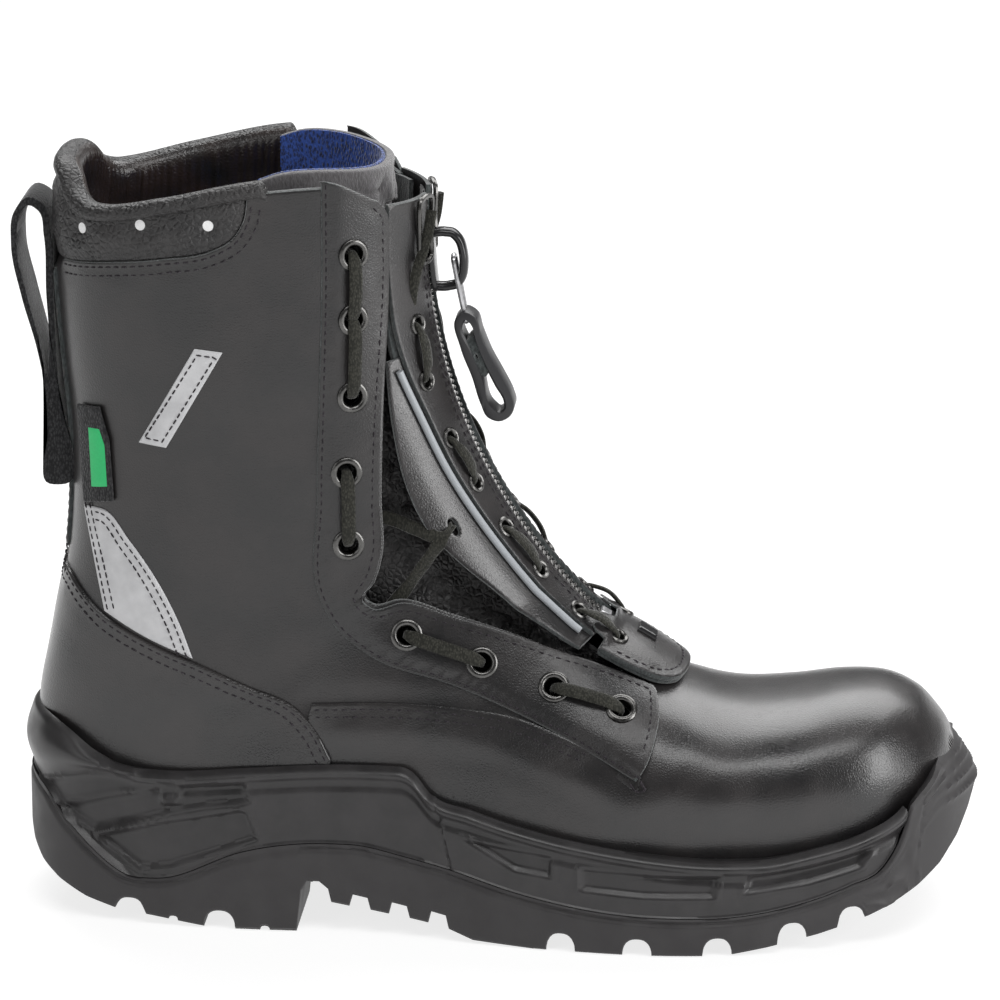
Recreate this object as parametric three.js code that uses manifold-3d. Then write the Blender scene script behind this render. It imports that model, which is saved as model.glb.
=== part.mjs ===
// Fire boot with a lace-in front zipper: one right boot, in millimetres.
// +X is toward the toe, +Z is up, -Y is the outer (lateral) side, z = 0 is the floor.
import * as THREE from 'three';
import { mergeVertices } from 'three/addons/utils/BufferGeometryUtils.js';
import Module from 'manifold-3d';

const wasm = await Module();
wasm.setup();
const { Manifold, Mesh: SolidMesh } = wasm;

// ---------------------------------------------------------------- driving sizes
const GAP = 0.3;                 // clear space kept between neighbouring pieces
const LEATHER = 2.2;             // upper leather
const OVERLAY = 1.6;             // second layer of leather stitched on top
const MID_IN = 2.5;              // counter, toe cap and ankle foam: outer face
const MID_OUT = 4.7;             //   and inner face
const LINING_IN = 5.0;           // lining: outer face
const LINING_OUT = 6.4;          //   and inner face
const TONGUE_IN = 8.2;           // padded tongue: outer face
const TONGUE_OUT = 11.7;         //   and inner face
const HALF_SPACE = 90;           // half the depth of every side-view cutter

// The zipper follows an arc round this centre; the whole upper is swept round it too.
const CENTRE_X = 155;
const CENTRE_Z = 230;
const ZIP_RADIUS = 175;

// ---------------------------------------------------------------- the upper's surface
// Sections turn round the zipper's centre from the shaft's top to the toe's tip.
// angle, front radius, radius at the widest place, back radius, half width, middle y,
// and how square the section's back half is.
const STATIONS = [
  [-9, 181, 240, 297, 42, 0, 2.5],
  [0, 181, 240, 297.6, 42, 0, 2.5],
  [10, 181, 241, 299.4, 40.5, 0, 2.5],
  [15, 181, 245, 303.8, 39, 0, 2.5],
  [20, 181, 252, 314, 38, 0, 2.5],
  [24, 182, 262, 328.5, 37, 0, 2.4],
  [28, 183, 272, 346, 36, 0, 2.4],
  [31, 183, 281, 355, 36, 0, 2.4],
  [33, 183, 287, 356, 36, 0, 2.5],
  [36, 183.5, 286, 333.5, 36.5, -0.5, 3],
  [40, 184, 270, 305, 37.5, -1, 3.4],
  [45, 183.3, 250, 280, 38.5, -2, 3.6],
  [50, 181.5, 234, 263.7, 41, -2.8, 3.6],
  [55, 178.7, 221, 251.5, 45, -3, 3.6],
  [60, 176.3, 211, 242, 48, -2.3, 3.6],
  [65, 172.7, 205, 234, 49.5, 0, 3.6],
  [70, 166.2, 199, 225.8, 48.5, 3, 3.6],
  [75, 159.3, 194, 219, 46, 5, 3.6],
  [80, 156.6, 190, 212.6, 41.5, 7, 3.4],
  [84, 159.8, 188, 208, 34, 9, 3.2],
  [86.5, 166, 188, 204.4, 26.5, 10, 2.8],
  [88, 172, 188, 201.5, 18, 11, 2.5],
  [88.9, 179, 189, 197, 10, 11, 2.3],
];
const TOE_ANGLE = 89.3;
const TOE_RADIUS = 190;
const TOE_Y = 11;
const FRONT_POWER = 2.3;         // roundness of a section's front half
const RING = 24;                 // points round a section

const rad = (degrees) => degrees * Math.PI / 180;

function stationAt(angle) {
  // Smooth (cubic) interpolation between the two stations round this angle.
  const last = STATIONS.length - 1;
  let i = 0;
  while (i < last - 1 && angle > STATIONS[i + 1][0]) i += 1;
  const slope = (k, column) => {
    const before = STATIONS[Math.max(k - 1, 0)];
    const after = STATIONS[Math.min(k + 1, last)];
    return (after[column] - before[column]) / (after[0] - before[0]);
  };
  const from = STATIONS[i];
  const to = STATIONS[i + 1];
  const span = to[0] - from[0];
  const t = Math.min(Math.max((angle - from[0]) / span, 0), 1);
  const values = [];
  for (let column = 1; column < from.length; column += 1) {
    const h00 = (1 + 2 * t) * (1 - t) ** 2;
    const h10 = t * (1 - t) ** 2;
    const h01 = t * t * (3 - 2 * t);
    const h11 = t * t * (t - 1);
    values.push(h00 * from[column] + h10 * span * slope(i, column)
      + h01 * to[column] + h11 * span * slope(i + 1, column));
  }
  return values;
}

function polar(angle, radius, y) {
  const x = CENTRE_X - radius * Math.cos(rad(angle));
  const z = CENTRE_Z - radius * Math.sin(rad(angle));
  return new THREE.Vector3(x, y, z);
}

function surface(angle, turn) {
  // turn 0 is the front, 90 the inner side, 180 the back, 270 the outer side.
  const [front, widest, back, half, middle, backPower] = stationAt(angle);
  const c = Math.cos(rad(turn));
  const s = Math.sin(rad(turn));
  const power = c > 0 ? FRONT_POWER : backPower;
  const r = (Math.abs(c) ** power + Math.abs(s) ** power) ** (-1 / power);
  const reach = c > 0 ? widest - front : back - widest;
  return polar(angle, widest - reach * r * c, middle + half * r * s);
}

function surfaceNormal(angle, turn) {
  const step = 0.4;
  const low = Math.min(angle, STATIONS[STATIONS.length - 1][0] - step);
  const along = surface(low + step, turn).sub(surface(low - step, turn));
  const round = surface(angle, turn + step).sub(surface(angle, turn - step));
  return along.cross(round).normalize();
}

function offsetPoint(angle, turn, out) {
  return surface(angle, turn).addScaledVector(surfaceNormal(angle, turn), out);
}

function placeOn(x, z, side) {
  // The (angle, turn) of the surface point seen at (x, z) from one side.
  const angle = Math.atan2(CENTRE_Z - z, CENTRE_X - x) * 180 / Math.PI;
  const radius = Math.hypot(CENTRE_X - x, CENTRE_Z - z);
  const [front, widest, back, , , backPower] = stationAt(angle);
  const isFront = radius < widest;
  const reach = isFront ? widest - front : back - widest;
  const power = isFront ? FRONT_POWER : backPower;
  const u = Math.min(Math.abs(widest - radius) / reach, 1);
  const v = (1 - u ** power) ** (1 / power);
  const turn = Math.atan2(v, isFront ? u : -u) * 180 / Math.PI;
  return { angle, turn: side < 0 ? 360 - turn : turn };
}

// ---------------------------------------------------------------- solid helpers
function solid(positions, triangles) {
  const mesh = new SolidMesh({
    numProp: 3,
    vertProperties: new Float32Array(positions),
    triVerts: new Uint32Array(triangles),
  });
  return new Manifold(mesh);
}

function solidFrom(geometry) {
  const plain = geometry.index ? geometry.toNonIndexed() : geometry.clone();
  for (const name of Object.keys(plain.attributes)) {
    if (name !== 'position') plain.deleteAttribute(name);
  }
  const merged = mergeVertices(plain, 1e-3);
  return solid(merged.attributes.position.array, merged.index.array);
}

function geometryFrom(body) {
  const mesh = body.getMesh();
  const geometry = new THREE.BufferGeometry();
  const positions = new Float32Array(mesh.numVert * 3);
  for (let i = 0; i < mesh.numVert; i += 1) {
    for (let k = 0; k < 3; k += 1) {
      positions[3 * i + k] = mesh.vertProperties[mesh.numProp * i + k];
    }
  }
  geometry.setAttribute('position', new THREE.BufferAttribute(positions, 3));
  geometry.setIndex(new THREE.BufferAttribute(new Uint32Array(mesh.triVerts), 1));
  geometry.computeVertexNormals();
  return geometry;
}

// A shell of quads through rows of points; every row is a closed ring.
function lofted(rows, startPoint, endPoint) {
  const ring = rows[0].length;
  const positions = [];
  const triangles = [];
  rows.forEach((row) => row.forEach((p) => positions.push(p.x, p.y, p.z)));
  const start = positions.length / 3;
  positions.push(startPoint.x, startPoint.y, startPoint.z);
  positions.push(endPoint.x, endPoint.y, endPoint.z);
  const last = (rows.length - 1) * ring;
  for (let i = 0; i < ring; i += 1) {
    const j = (i + 1) % ring;
    for (let row = 0; row + 1 < rows.length; row += 1) {
      const a = row * ring;
      const b = a + ring;
      triangles.push(a + i, b + i, a + j, a + j, b + i, b + j);
    }
    triangles.push(start, i, j);
    triangles.push(start + 1, last + j, last + i);
  }
  const body = solid(positions, triangles);
  return body.volume() > 0 ? body : solid(positions, triangles.reverse());
}

const envelopes = new Map();

function envelope(out) {
  // The upper's whole outer form, grown (out > 0) or shrunk (out < 0).
  if (envelopes.has(out)) return envelopes.get(out);
  const rows = STATIONS.map(([angle]) => {
    const row = [];
    for (let i = 0; i < RING; i += 1) row.push(offsetPoint(angle, i * 360 / RING, out));
    return row;
  });
  const top = polar(STATIONS[0][0], STATIONS[0][2], 0);
  const toe = polar(TOE_ANGLE, TOE_RADIUS, TOE_Y).add(new THREE.Vector3(out, 0, 0));
  const body = lofted(rows, top, toe);
  envelopes.set(out, body);
  return body;
}

const layer = (outer, inner) => envelope(outer).subtract(envelope(inner));

// A side-view outline of (x, z) points, pushed through the boot from y = from to y = to.
function sideCutter(points, from = -HALF_SPACE, to = HALF_SPACE) {
  const shape = new THREE.Shape(points.map(([x, z]) => new THREE.Vector2(x, z)));
  const geometry = new THREE.ExtrudeGeometry(shape, { depth: to - from, bevelEnabled: false });
  geometry.rotateX(Math.PI / 2);
  geometry.translate(0, to, 0);
  return solidFrom(geometry);
}

function box(x0, x1, y0, y1, z0, z1) {
  const geometry = new THREE.BoxGeometry(x1 - x0, y1 - y0, z1 - z0);
  geometry.translate((x0 + x1) / 2, (y0 + y1) / 2, (z0 + z1) / 2);
  return solidFrom(geometry);
}

const OUTER_HALF = box(-300, 300, -HALF_SPACE, -GAP / 2, -50, 400);
const INNER_HALF = box(-300, 300, GAP / 2, HALF_SPACE, -50, 400);
const halfOf = (side) => (side < 0 ? OUTER_HALF : INNER_HALF);

function smoothLine(points, steps) {
  // A curve through a few (x, z) points.
  const curve = new THREE.SplineCurve(points.map(([x, z]) => new THREE.Vector2(x, z)));
  return curve.getPoints(steps).map((p) => [p.x, p.y]);
}

// A strip cut from the zipper's arc: angles [a0, a1], width y0..y1, between two radii.
// The front of the leg bends across the strip, less so over the instep.
function stripCurve(angle) {
  return 34 + 24 * Math.min(Math.max((angle - 40) / 16, 0), 1);
}

function stripDepth(y, angle) {
  const curve = stripCurve(angle);
  return curve - Math.sqrt(curve ** 2 - y * y);
}

function arcStrip(a0, a1, y0, y1, low, high, across = 3, edge = () => 1) {
  const steps = Math.max(2, Math.round((a1 - a0) / 4));
  const rows = [];
  for (let i = 0; i <= steps; i += 1) {
    const angle = a0 + (a1 - a0) * i / steps;
    const row = [];
    const point = (k, out) => {
      const y = (y0 + (y1 - y0) * k / across) * edge(i / steps);
      return polar(angle, ZIP_RADIUS + stripDepth(y, angle) - out, y);
    };
    for (let k = 0; k <= across; k += 1) row.push(point(k, low));
    for (let k = across; k >= 0; k -= 1) row.push(point(k, high));
    rows.push(row);
  }
  const centre = (row) => row.reduce((sum, p) => sum.add(p), new THREE.Vector3())
    .divideScalar(row.length);
  return lofted(rows, centre(rows[0]), centre(rows[steps]));
}

function tube(points, radius, perPoint = 3, sides = 8) {
  const curve = new THREE.CatmullRomCurve3(points, false, 'centripetal');
  const circle = new THREE.Shape();
  circle.absarc(0, 0, radius, 0, 2 * Math.PI);
  const geometry = new THREE.ExtrudeGeometry(circle, {
    steps: (points.length - 1) * perPoint,
    curveSegments: sides,
    extrudePath: curve,
    bevelEnabled: false,
  });
  return solidFrom(geometry);
}

function turned(profile, position, direction, segments = 10) {
  // A lathed piece whose axis (its own +Y) points along direction.
  const points = profile.map(([r, h]) => new THREE.Vector2(r, h));
  const geometry = new THREE.LatheGeometry(points, segments);
  const turnTo = new THREE.Quaternion();
  turnTo.setFromUnitVectors(new THREE.Vector3(0, 1, 0), direction);
  geometry.applyQuaternion(turnTo);
  geometry.translate(position.x, position.y, position.z);
  return solidFrom(geometry);
}

// ---------------------------------------------------------------- side-view outlines
const FAR = 210;
const RIM = smoothLine([[-150, 253], [-139, 250.6], [-134.5, 244], [-127, 241], [-104, 245],
  [-76, 251], [-53, 252.6], [-34, 243], [-20, 238]], 20);
const FACING_FRONT = [[-34, FAR + 60], [-34, 211], [-35.2, 178.4], [-36, 145], [-36, 125],
  [-38.5, 117], [-41.5, 112], [-38, 108.5], [-29, 110], [-12.8, 105], [3.4, 99.6],
  [23, 92], [36, 87.1], [49, 81.9], [54, 78.5]];
const FACING_REAR = [[-53, FAR + 60], [-53.3, 213.5], [-54.3, 180], [-55.4, 146.4],
  [-55, 112.4], [-49.7, 102.2], [-38.3, 92.6], [-12, 84.1], [11, 75.2], [31, 66.5],
  [49, 57.5]];
const QUARTER_LOW = [[-57.5, 77], [-28.3, 78], [-8.7, 76.9], [11, 74.2], [24, 69.9],
  [37, 65], [50.4, 57.3]];
const QUARTER_END = [[52.8, 65.2], [54.4, 73], [54, 78.5]];
const COUNTER_TOP = [[-170, 117], [-146, 117], [-137.7, 113.9], [-127, 104.7], [-110, 95.6],
  [-93.7, 89], [-77.4, 81.7], [-64.2, 76.3], [-56, 68], [-51, 58.6]];
const COLLAR_LOW = [[-170, 219.5], [-138, 220.6], [-124.5, 223], [-104, 226], [-88, 229.2],
  [-81, 233.3], [-77.3, 239.2], [-76, 260]];
const FEATHER = [[-170, 66], [-150, 66], [-142, 64], [-129, 57], [-119, 53.6], [-107, 53],
  [-77.5, 55.5], [-51, 57.5], [-29, 58], [-24, 56], [-18, 49], [-5, 45], [8, 41.5],
  [25, 38], [50, 34.5], [70, 32.4], [89, 31.8], [108, 34.5], [124, 38.5], [134, 43],
  [141, 51], [148, 57], [170, 60]];
const DIVIDE = [[-170, 45], [-149, 42], [-139, 32], [-121, 17.5], [-114, 16], [-104, 17],
  [-81, 26.8], [-61, 30.5], [-45, 31], [-25, 27.5], [-11, 24.5], [12, 18.5], [38, 14.3],
  [70, 13], [96, 15.2], [118, 21.5], [130, 28], [136, 42], [141, 70], [170, 72]];

const above = (line, lift = 0) => sideCutter([
  ...line.map(([x, z]) => [x, z + lift]), [line.at(-1)[0], 300], [line[0][0], 300]]);
const below = (line, lift = 0) => sideCutter([
  [line[0][0], -20], [line.at(-1)[0], -20], ...line.map(([x, z]) => [x, z + lift]).reverse()]);
const ROLL_HEIGHT = 4;
const ROLL_END = -53.6;
const belowRim = (drop) => sideCutter([[-FAR, -20], [FAR, -20], [FAR, 238 - drop],
  ...RIM.map(([x, z]) => [x, z - drop]).reverse(), [-FAR, 254 - drop]]);
const opening = sideCutter([...FACING_FRONT, [60, 78.5], [FAR, 78.5], [FAR, FAR + 60]]);

// ---------------------------------------------------------------- eyelets
const EYELET_OUTER = 5.4;
const EYELET_INNER = 3;
const EYELET_BARREL = 3.6;
const EYELET_CLEAR = 3.95;
const EYELET_PLACES = [[-44.1, 227.4], [-44.2, 206], [-44.4, 180.5], [-46.2, 155.3],
  [-45.8, 130.8], [-27, 99.7], [-2.5, 90.8], [21, 83], [43, 76.5]];

function eyeletFrame(index, side) {
  const [x, z] = EYELET_PLACES[index];
  const { angle, turn } = placeOn(x, z, side);
  return { at: surface(angle, turn), out: surfaceNormal(angle, turn) };
}

function lift(frame, distance) {
  return frame.at.clone().addScaledVector(frame.out, distance);
}

function eyeletHoles(side) {
  const profile = [[0, -8], [EYELET_CLEAR, -8], [EYELET_CLEAR, 8], [0, 8]];
  const holes = EYELET_PLACES.map((_, index) => {
    const frame = eyeletFrame(index, side);
    return turned(profile, frame.at, frame.out, 10);
  });
  return Manifold.union(holes);
}

function eyelet(index, side) {
  const frame = eyeletFrame(index, side);
  const seat = GAP + OVERLAY + GAP;
  const profile = [[EYELET_INNER, -LEATHER], [EYELET_BARREL, -LEATHER],
    [EYELET_BARREL, seat], [EYELET_OUTER, seat], [EYELET_OUTER - 0.6, seat + 1],
    [EYELET_INNER, seat + 1], [EYELET_INNER, -LEATHER]];
  return turned(profile, frame.at, frame.out);
}

// ---------------------------------------------------------------- the upper
const holesBySide = { [-1]: eyeletHoles(-1), 1: eyeletHoles(1) };

const rollSpace = box(-FAR, ROLL_END + GAP, -HALF_SPACE, HALF_SPACE, 0, 300)
  .subtract(belowRim(ROLL_HEIGHT + GAP));

function quarter(side) {
  const region = sideCutter([[-FAR, -10], [-57.8, -10], ...QUARTER_LOW.map(([x, z]) =>
    [x, z + GAP]), ...QUARTER_END, [54, FAR + 60], [-FAR, FAR + 60]]);
  return layer(0, -LEATHER).intersect(region).intersect(halfOf(side))
    .subtract(opening)
    .subtract(above(COLLAR_LOW, -GAP))
    .intersect(belowRim(GAP))
    .subtract(rollSpace)
    .subtract(bottomCut)
    .subtract(holesBySide[side]);
}

function vamp() {
  const end = QUARTER_END.map(([x, z]) => [x + GAP, z]);
  const region = sideCutter([[-57.5, -10], ...QUARTER_LOW, ...end, [54.3, 130], [FAR, 130],
    [FAR, -10]]);
  return layer(0, -LEATHER).intersect(region).subtract(bottomCut);
}

function facing(side) {
  const region = sideCutter([...FACING_REAR, QUARTER_END[0], ...FACING_FRONT.slice().reverse()]);
  return layer(GAP + OVERLAY, GAP).intersect(region).intersect(halfOf(side))
    .intersect(belowRim(GAP))
    .subtract(holesBySide[side]);
}

function counterCover() {
  return layer(GAP + OVERLAY, GAP)
    .subtract(above(COUNTER_TOP))
    .intersect(sideCutter([[-FAR, 0], [-51.7, 0], [-51.7, 130], [-FAR, 130]]))
    .intersect(above(FEATHER, GAP));
}

function backStrip() {
  return layer(GAP + OVERLAY, GAP)
    .intersect(box(-FAR, -110, -9, 9, 121 + GAP, 223));
}

function collarPad() {
  return layer(0, -MID_OUT)
    .intersect(above(COLLAR_LOW))
    .intersect(box(-FAR, -76.4, -HALF_SPACE, HALF_SPACE, 0, 300))
    .intersect(belowRim(ROLL_HEIGHT));
}

function collarRoll() {
  // The thick rolled edge runs from one facing, round the back, to the other.
  return layer(1, -MID_OUT)
    .intersect(belowRim(0))
    .subtract(belowRim(ROLL_HEIGHT - GAP))
    .intersect(box(-FAR, ROLL_END, -HALF_SPACE, HALF_SPACE, 0, 300));
}

function bootie() {
  // Waterproof lining: round the shaft and foot, open at the front of the leg.
  const front = FACING_REAR.map(([x, z]) => [x - 2, z]);
  const open = sideCutter([...front, [54, 52], [62, 140], [FAR, 140], [FAR, FAR + 60]]);
  return layer(-LINING_IN, -LINING_OUT)
    .subtract(open)
    .intersect(belowRim(2))
    .subtract(innerBottomCut);
}

function tongue() {
  // Padded, gusseted tongue behind the zipper, from the toe's throat to above the rim.
  const region = sideCutter([[-44, FAR + 60], [-44, 130], [-44, 104], [-30, 96], [0, 86],
    [30, 73], [60, 62], [76, 62], [76, 100], [FAR, FAR + 60]]);
  return layer(-TONGUE_IN, -TONGUE_OUT).intersect(region)
    .intersect(box(-FAR, FAR, -HALF_SPACE, HALF_SPACE, 0, 252));
}

function toeCap() {
  const region = sideCutter([[97, 0], [101, 140], [FAR, 140], [FAR, 0]]);
  return layer(-MID_IN, -MID_OUT).intersect(region).subtract(innerBottomCut);
}

const COUNTER_STIFF_TOP = [[-FAR, 96], [-120, 96], [-84, 76], [-66, 60], [-60, 0], [-FAR, 0]];

function heelCounter() {
  return layer(-MID_IN, -MID_OUT).intersect(sideCutter(COUNTER_STIFF_TOP))
    .subtract(innerBottomCut);
}

function ankleFoam() {
  const front = FACING_REAR.map(([x, z]) => [x - 2, z]);
  const open = sideCutter([...front, [54, 52], [62, 140], [FAR, 140], [FAR, FAR + 60]]);
  const stiff = sideCutter(COUNTER_STIFF_TOP.map(([x, z]) => [x + (z < 96 ? 0.6 : 0), z + 0.6]));
  return layer(-MID_IN, -MID_OUT)
    .intersect(above([[-FAR, 60], [-40, 60], [20, 60], [FAR, 60]]))
    .subtract(open)
    .subtract(stiff)
    .subtract(above(COLLAR_LOW, -GAP))
    .intersect(belowRim(6))
    .intersect(sideCutter([[-FAR, 0], [40, 0], [40, 140], [-40, FAR + 60], [-FAR, FAR + 60]]));
}

// ---------------------------------------------------------------- inside the sole
// The last board's line in side view: heel seat, waist, ball and toe spring.
const BOARD = [[-160, 37], [-100, 37], [-60, 37], [-30, 34], [5, 27.5], [40, 22.3],
  [70, 20.5], [100, 21.5], [130, 25], [160, 31]];
const INNER_LIFT = 1;

const slab = (low, high) => sideCutter([...BOARD.map(([x, z]) => [x, z + low]),
  ...BOARD.map(([x, z]) => [x, z + high]).reverse()]);
const bottomCut = below(BOARD, 0);
const innerBottomCut = below(BOARD, 5.4);

const PLATE = [INNER_LIFT, INNER_LIFT + 1];
const BOARD_LAYER = [PLATE[1] + GAP, PLATE[1] + GAP + 2.4];
const FOOTBED_LAYER = [7.2, 12];

const shankBox = (grow) => box(-105 - grow, -5 + grow, -9 - grow, 9 + grow, 0, 60);

function puncturePlate() {
  return envelope(-MID_IN).intersect(slab(...PLATE));
}

function insoleBoard() {
  return envelope(-MID_IN).intersect(slab(...BOARD_LAYER))
    .subtract(shankBox(GAP).intersect(slab(0, BOARD_LAYER[1] + 1)));
}

function archShank() {
  return shankBox(0).intersect(slab(BOARD_LAYER[0] + 0.2, BOARD_LAYER[1] - 0.2));
}

function footbed() {
  return envelope(-LINING_OUT - 0.5).intersect(slab(...FOOTBED_LAYER));
}

// ---------------------------------------------------------------- the sole
const SOLE_OUTER = [[-155.5, 0], [-152.5, -15], [-146, -26.5], [-137, -33.5], [-125, -38],
  [-105, -41], [-80, -42.8], [-55, -43], [-25, -45], [5, -50.5], [30, -54], [55, -55.5],
  [80, -53], [103, -47], [122, -40.5], [138, -30], [147.5, -19], [154, -5], [157.5, 11]];
const SOLE_INNER = [[157.5, 11], [155.5, 23.5], [149, 38], [138, 48.8], [122, 55],
  [103, 57.5], [80, 57], [55, 53.5], [30, 48], [5, 43.5], [-25, 40.5], [-55, 40.5],
  [-80, 41.3], [-105, 41], [-125, 38], [-137, 33.5], [-146, 26.5], [-152.5, 15],
  [-155.5, 0]];
// The sole's lowest line in side view; notches part its lugs.
const TREAD = [[-170, 40], [-156, 27], [-153, 18.5], [-149, 14.5], [-143, 11], [-133, 7],
  [-122.8, 4.5], [-121, 8], [-115, 8], [-113.2, 3.2], [-96, 0.8], [-93.2, 0.4], [-91.5, 5.5],
  [-84.5, 5.5], [-82.8, 0], [-62.5, 0], [-61, 14], [-59, 17.5], [-55, 17.5], [-52, 15],
  [-51, 10.5], [-45, 9.5], [-44, 13.5], [-39, 12.5], [-38, 8.5], [-32, 7.5], [-31, 11.5],
  [-26, 10.5], [-25, 6.5], [-19, 5.5], [-18, 9.5], [-13, 8.5], [-12, 4], [-4, 1], [16, 0],
  [20.2, 0], [22, 5.5], [28, 5.5], [29.8, 0], [45.2, 0], [47, 5], [53, 5], [54.8, 0], [71.2, 0],
  [73, 5.5], [79, 5.5], [80.8, 0.4], [92, 2.2], [95.2, 2.9], [97, 9.2], [103, 9.6], [104.8, 4.8],
  [108, 5.5], [114.6, 7.4], [116.5, 13], [121.5, 13.6], [123.4, 9.8], [131, 12.5], [140, 17],
  [147, 22], [152, 28], [155.5, 35], [157.5, 41], [170, 70]];
const SOLE_GAP = 0.45;
const CHANNEL_HALF = 4;
const CHANNEL_DEPTH = 3.2;

function planOutline() {
  const shape = new THREE.Shape();
  const outer = SOLE_OUTER.map(([x, y]) => new THREE.Vector2(x, y));
  const inner = SOLE_INNER.map(([x, y]) => new THREE.Vector2(x, y));
  shape.setFromPoints([...outer, ...inner.slice(1, -1)]);
  const geometry = new THREE.ExtrudeGeometry(shape, { depth: 80, bevelEnabled: false });
  return solidFrom(geometry);
}

const soleBlock = planOutline()
  .intersect(above(TREAD))
  .intersect(below(FEATHER))
  .subtract(envelope(SOLE_GAP).intersect(above(BOARD)));

function outsole() {
  const channel = box(-170, 170, -CHANNEL_HALF, CHANNEL_HALF, -5, 30)
    .intersect(below(TREAD.filter(([, z]) => z < 2.6), CHANNEL_DEPTH));
  return soleBlock.intersect(below(DIVIDE, -GAP / 2)).subtract(channel);
}

function midsole() {
  const ahead = box(-FAR, 136, -HALF_SPACE, HALF_SPACE, -10, 100);
  return soleBlock.intersect(above(DIVIDE, GAP / 2)).intersect(ahead);
}

// ---------------------------------------------------------------- pull loop, tab, trims
function pullLoop() {
  // A folded strap: both ends stitched to the back strip, open above them.
  const outline = smoothLine([[-146.4, 141], [-146.2, 172], [-148.8, 187], [-154, 204], [-157.4, 222],
    [-155.8, 233.5], [-151, 237.6], [-146.8, 234], [-145.1, 224], [-144.5, 205],
    [-143.8, 190], [-143, 172], [-142, 141]], 26);
  const hole = smoothLine([[-147.4, 192], [-151.3, 206], [-154.6, 221], [-153.2, 230],
    [-150.8, 234], [-148.8, 230], [-147.6, 221], [-147.2, 207], [-147.4, 192.2]], 16);
  return sideCutter(outline, -10, 10)
    .subtract(sideCutter(hole.slice(0, -1)))
    .subtract(envelope(GAP * 2 + OVERLAY));
}

const LABEL = [[-134, 137], [-124, 137], [-124, 160], [-127.5, 170], [-134, 170]];

function sideLabel() {
  return layer(GAP + 1.2, GAP).intersect(sideCutter(LABEL)).intersect(OUTER_HALF);
}

function heelReflector(side) {
  const front = smoothLine([[-133, 134], [-125, 134], [-117, 127], [-109, 116],
    [-101.5, 102], [-96.5, 89]], 12);
  const region = sideCutter([...front, [-96.5, 60], [-133, 60]]);
  return layer(GAP + 0.8, GAP).intersect(region).intersect(halfOf(side))
    .intersect(above(COUNTER_TOP, GAP * 2));
}

function sideReflector(side) {
  const region = sideCutter([[-113, 163], [-103, 163], [-84, 197], [-94, 197]]);
  return layer(GAP + 0.8, GAP).intersect(region).intersect(halfOf(side));
}

// ---------------------------------------------------------------- zipper insert
const INSERT_TOP = -3.5;         // degrees round the zipper's arc
const CHAIN_TOP = 8.6;
const CHAIN_END = 47;
const INSERT_SPLIT = 48.6;
const INSERT_END = 58.2;
const INSERT_HALF = 24;
const STRAP_EDGE = 5.2;
const TAPE_EDGE = 3.3;

function insertLeather(side) {
  return arcStrip(INSERT_TOP, INSERT_SPLIT - 0.1, side * STRAP_EDGE, side * INSERT_HALF,
    GAP, GAP + 1.8, 4);
}

function insertEnd() {
  const round = (t) => Math.sqrt(Math.max(1 - t ** 3, 0.12));
  return arcStrip(INSERT_SPLIT + 0.1, INSERT_END, -INSERT_HALF, INSERT_HALF, GAP, GAP + 1.8, 8,
    round);
}

function zipTape(side) {
  return arcStrip(INSERT_TOP + 0.5, INSERT_SPLIT - 0.3, side * TAPE_EDGE, side * 15, -0.8, 0, 2);
}

function zipTeeth(side) {
  // One row of coil teeth: a rail with a tooth every pitch, meeting the other row.
  const pitch = 2.4;
  const count = Math.floor((CHAIN_END - CHAIN_TOP) / pitch);
  const rail = arcStrip(CHAIN_TOP, CHAIN_END, side * 1.6, side * 3, -1, 1, 1);
  const teeth = [];
  for (let i = 0; i < count; i += 1) {
    const start = CHAIN_TOP + (i + 0.25) * pitch;
    teeth.push(arcStrip(start, start + pitch / 2, side * 0.25, side * 1.8, -0.8, 0.8, 1));
  }
  return Manifold.union([rail, ...teeth]);
}

function bottomStop() {
  return arcStrip(CHAIN_END + 0.2, CHAIN_END + 1.2, -3, 3, -1, 1.2, 1);
}

function onArc(angle, out, y = 0) {
  return polar(angle, ZIP_RADIUS + stripDepth(y, angle) - out, y);
}

function arcOutward(angle) {
  return new THREE.Vector3(Math.cos(rad(angle)), 0, Math.sin(rad(angle)));
}

function endStud() {
  // Square metal cap riveted through the insert's end.
  const cap = new THREE.BoxGeometry(7, 2.4, 7);
  cap.translate(0, 1.2, 0);
  const turnTo = new THREE.Quaternion();
  turnTo.setFromUnitVectors(new THREE.Vector3(0, 1, 0), arcOutward(52.5));
  cap.applyQuaternion(turnTo);
  const at = onArc(52.5, GAP * 2 + 1.8);
  cap.translate(at.x, at.y, at.z);
  return solidFrom(cap);
}

function laceHook(side) {
  // Flat wire frame sewn to the top of the strip, where the lace is tied off.
  const outer = arcStrip(-3, 3.2, side * 6.5, side * 13.5, 2.4, 3.8, 1);
  const inner = arcStrip(-1.6, 1.8, side * 8.3, side * 11.7, 1.5, 5, 1);
  return outer.subtract(inner);
}

const SLIDER_FROM = 2;
const SLIDER_TO = 7;
const CROWN_ANGLE = 4.1;
const CROWN_OUT = 5.4;

function sliderBody() {
  const plate = arcStrip(SLIDER_FROM, SLIDER_TO, -4, 4, 1.7, 3.2, 1);
  const lower = arcStrip(SLIDER_FROM, SLIDER_TO, -4, 4, -3.2, -1.9, 1);
  const post = arcStrip(SLIDER_FROM, SLIDER_FROM + 2, -0.6, 0.6, -2.4, 2.2, 1);
  const crown = arcStrip(CROWN_ANGLE - 1.9, CROWN_ANGLE + 1.9, -1.2, 1.2, 2.6, 7.6, 1);
  const eye = arcStrip(CROWN_ANGLE - 1.2, CROWN_ANGLE + 1.2, -3, 3, 4.3, 6.5, 1);
  return Manifold.union([plate, lower, post, crown]).subtract(eye);
}

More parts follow.
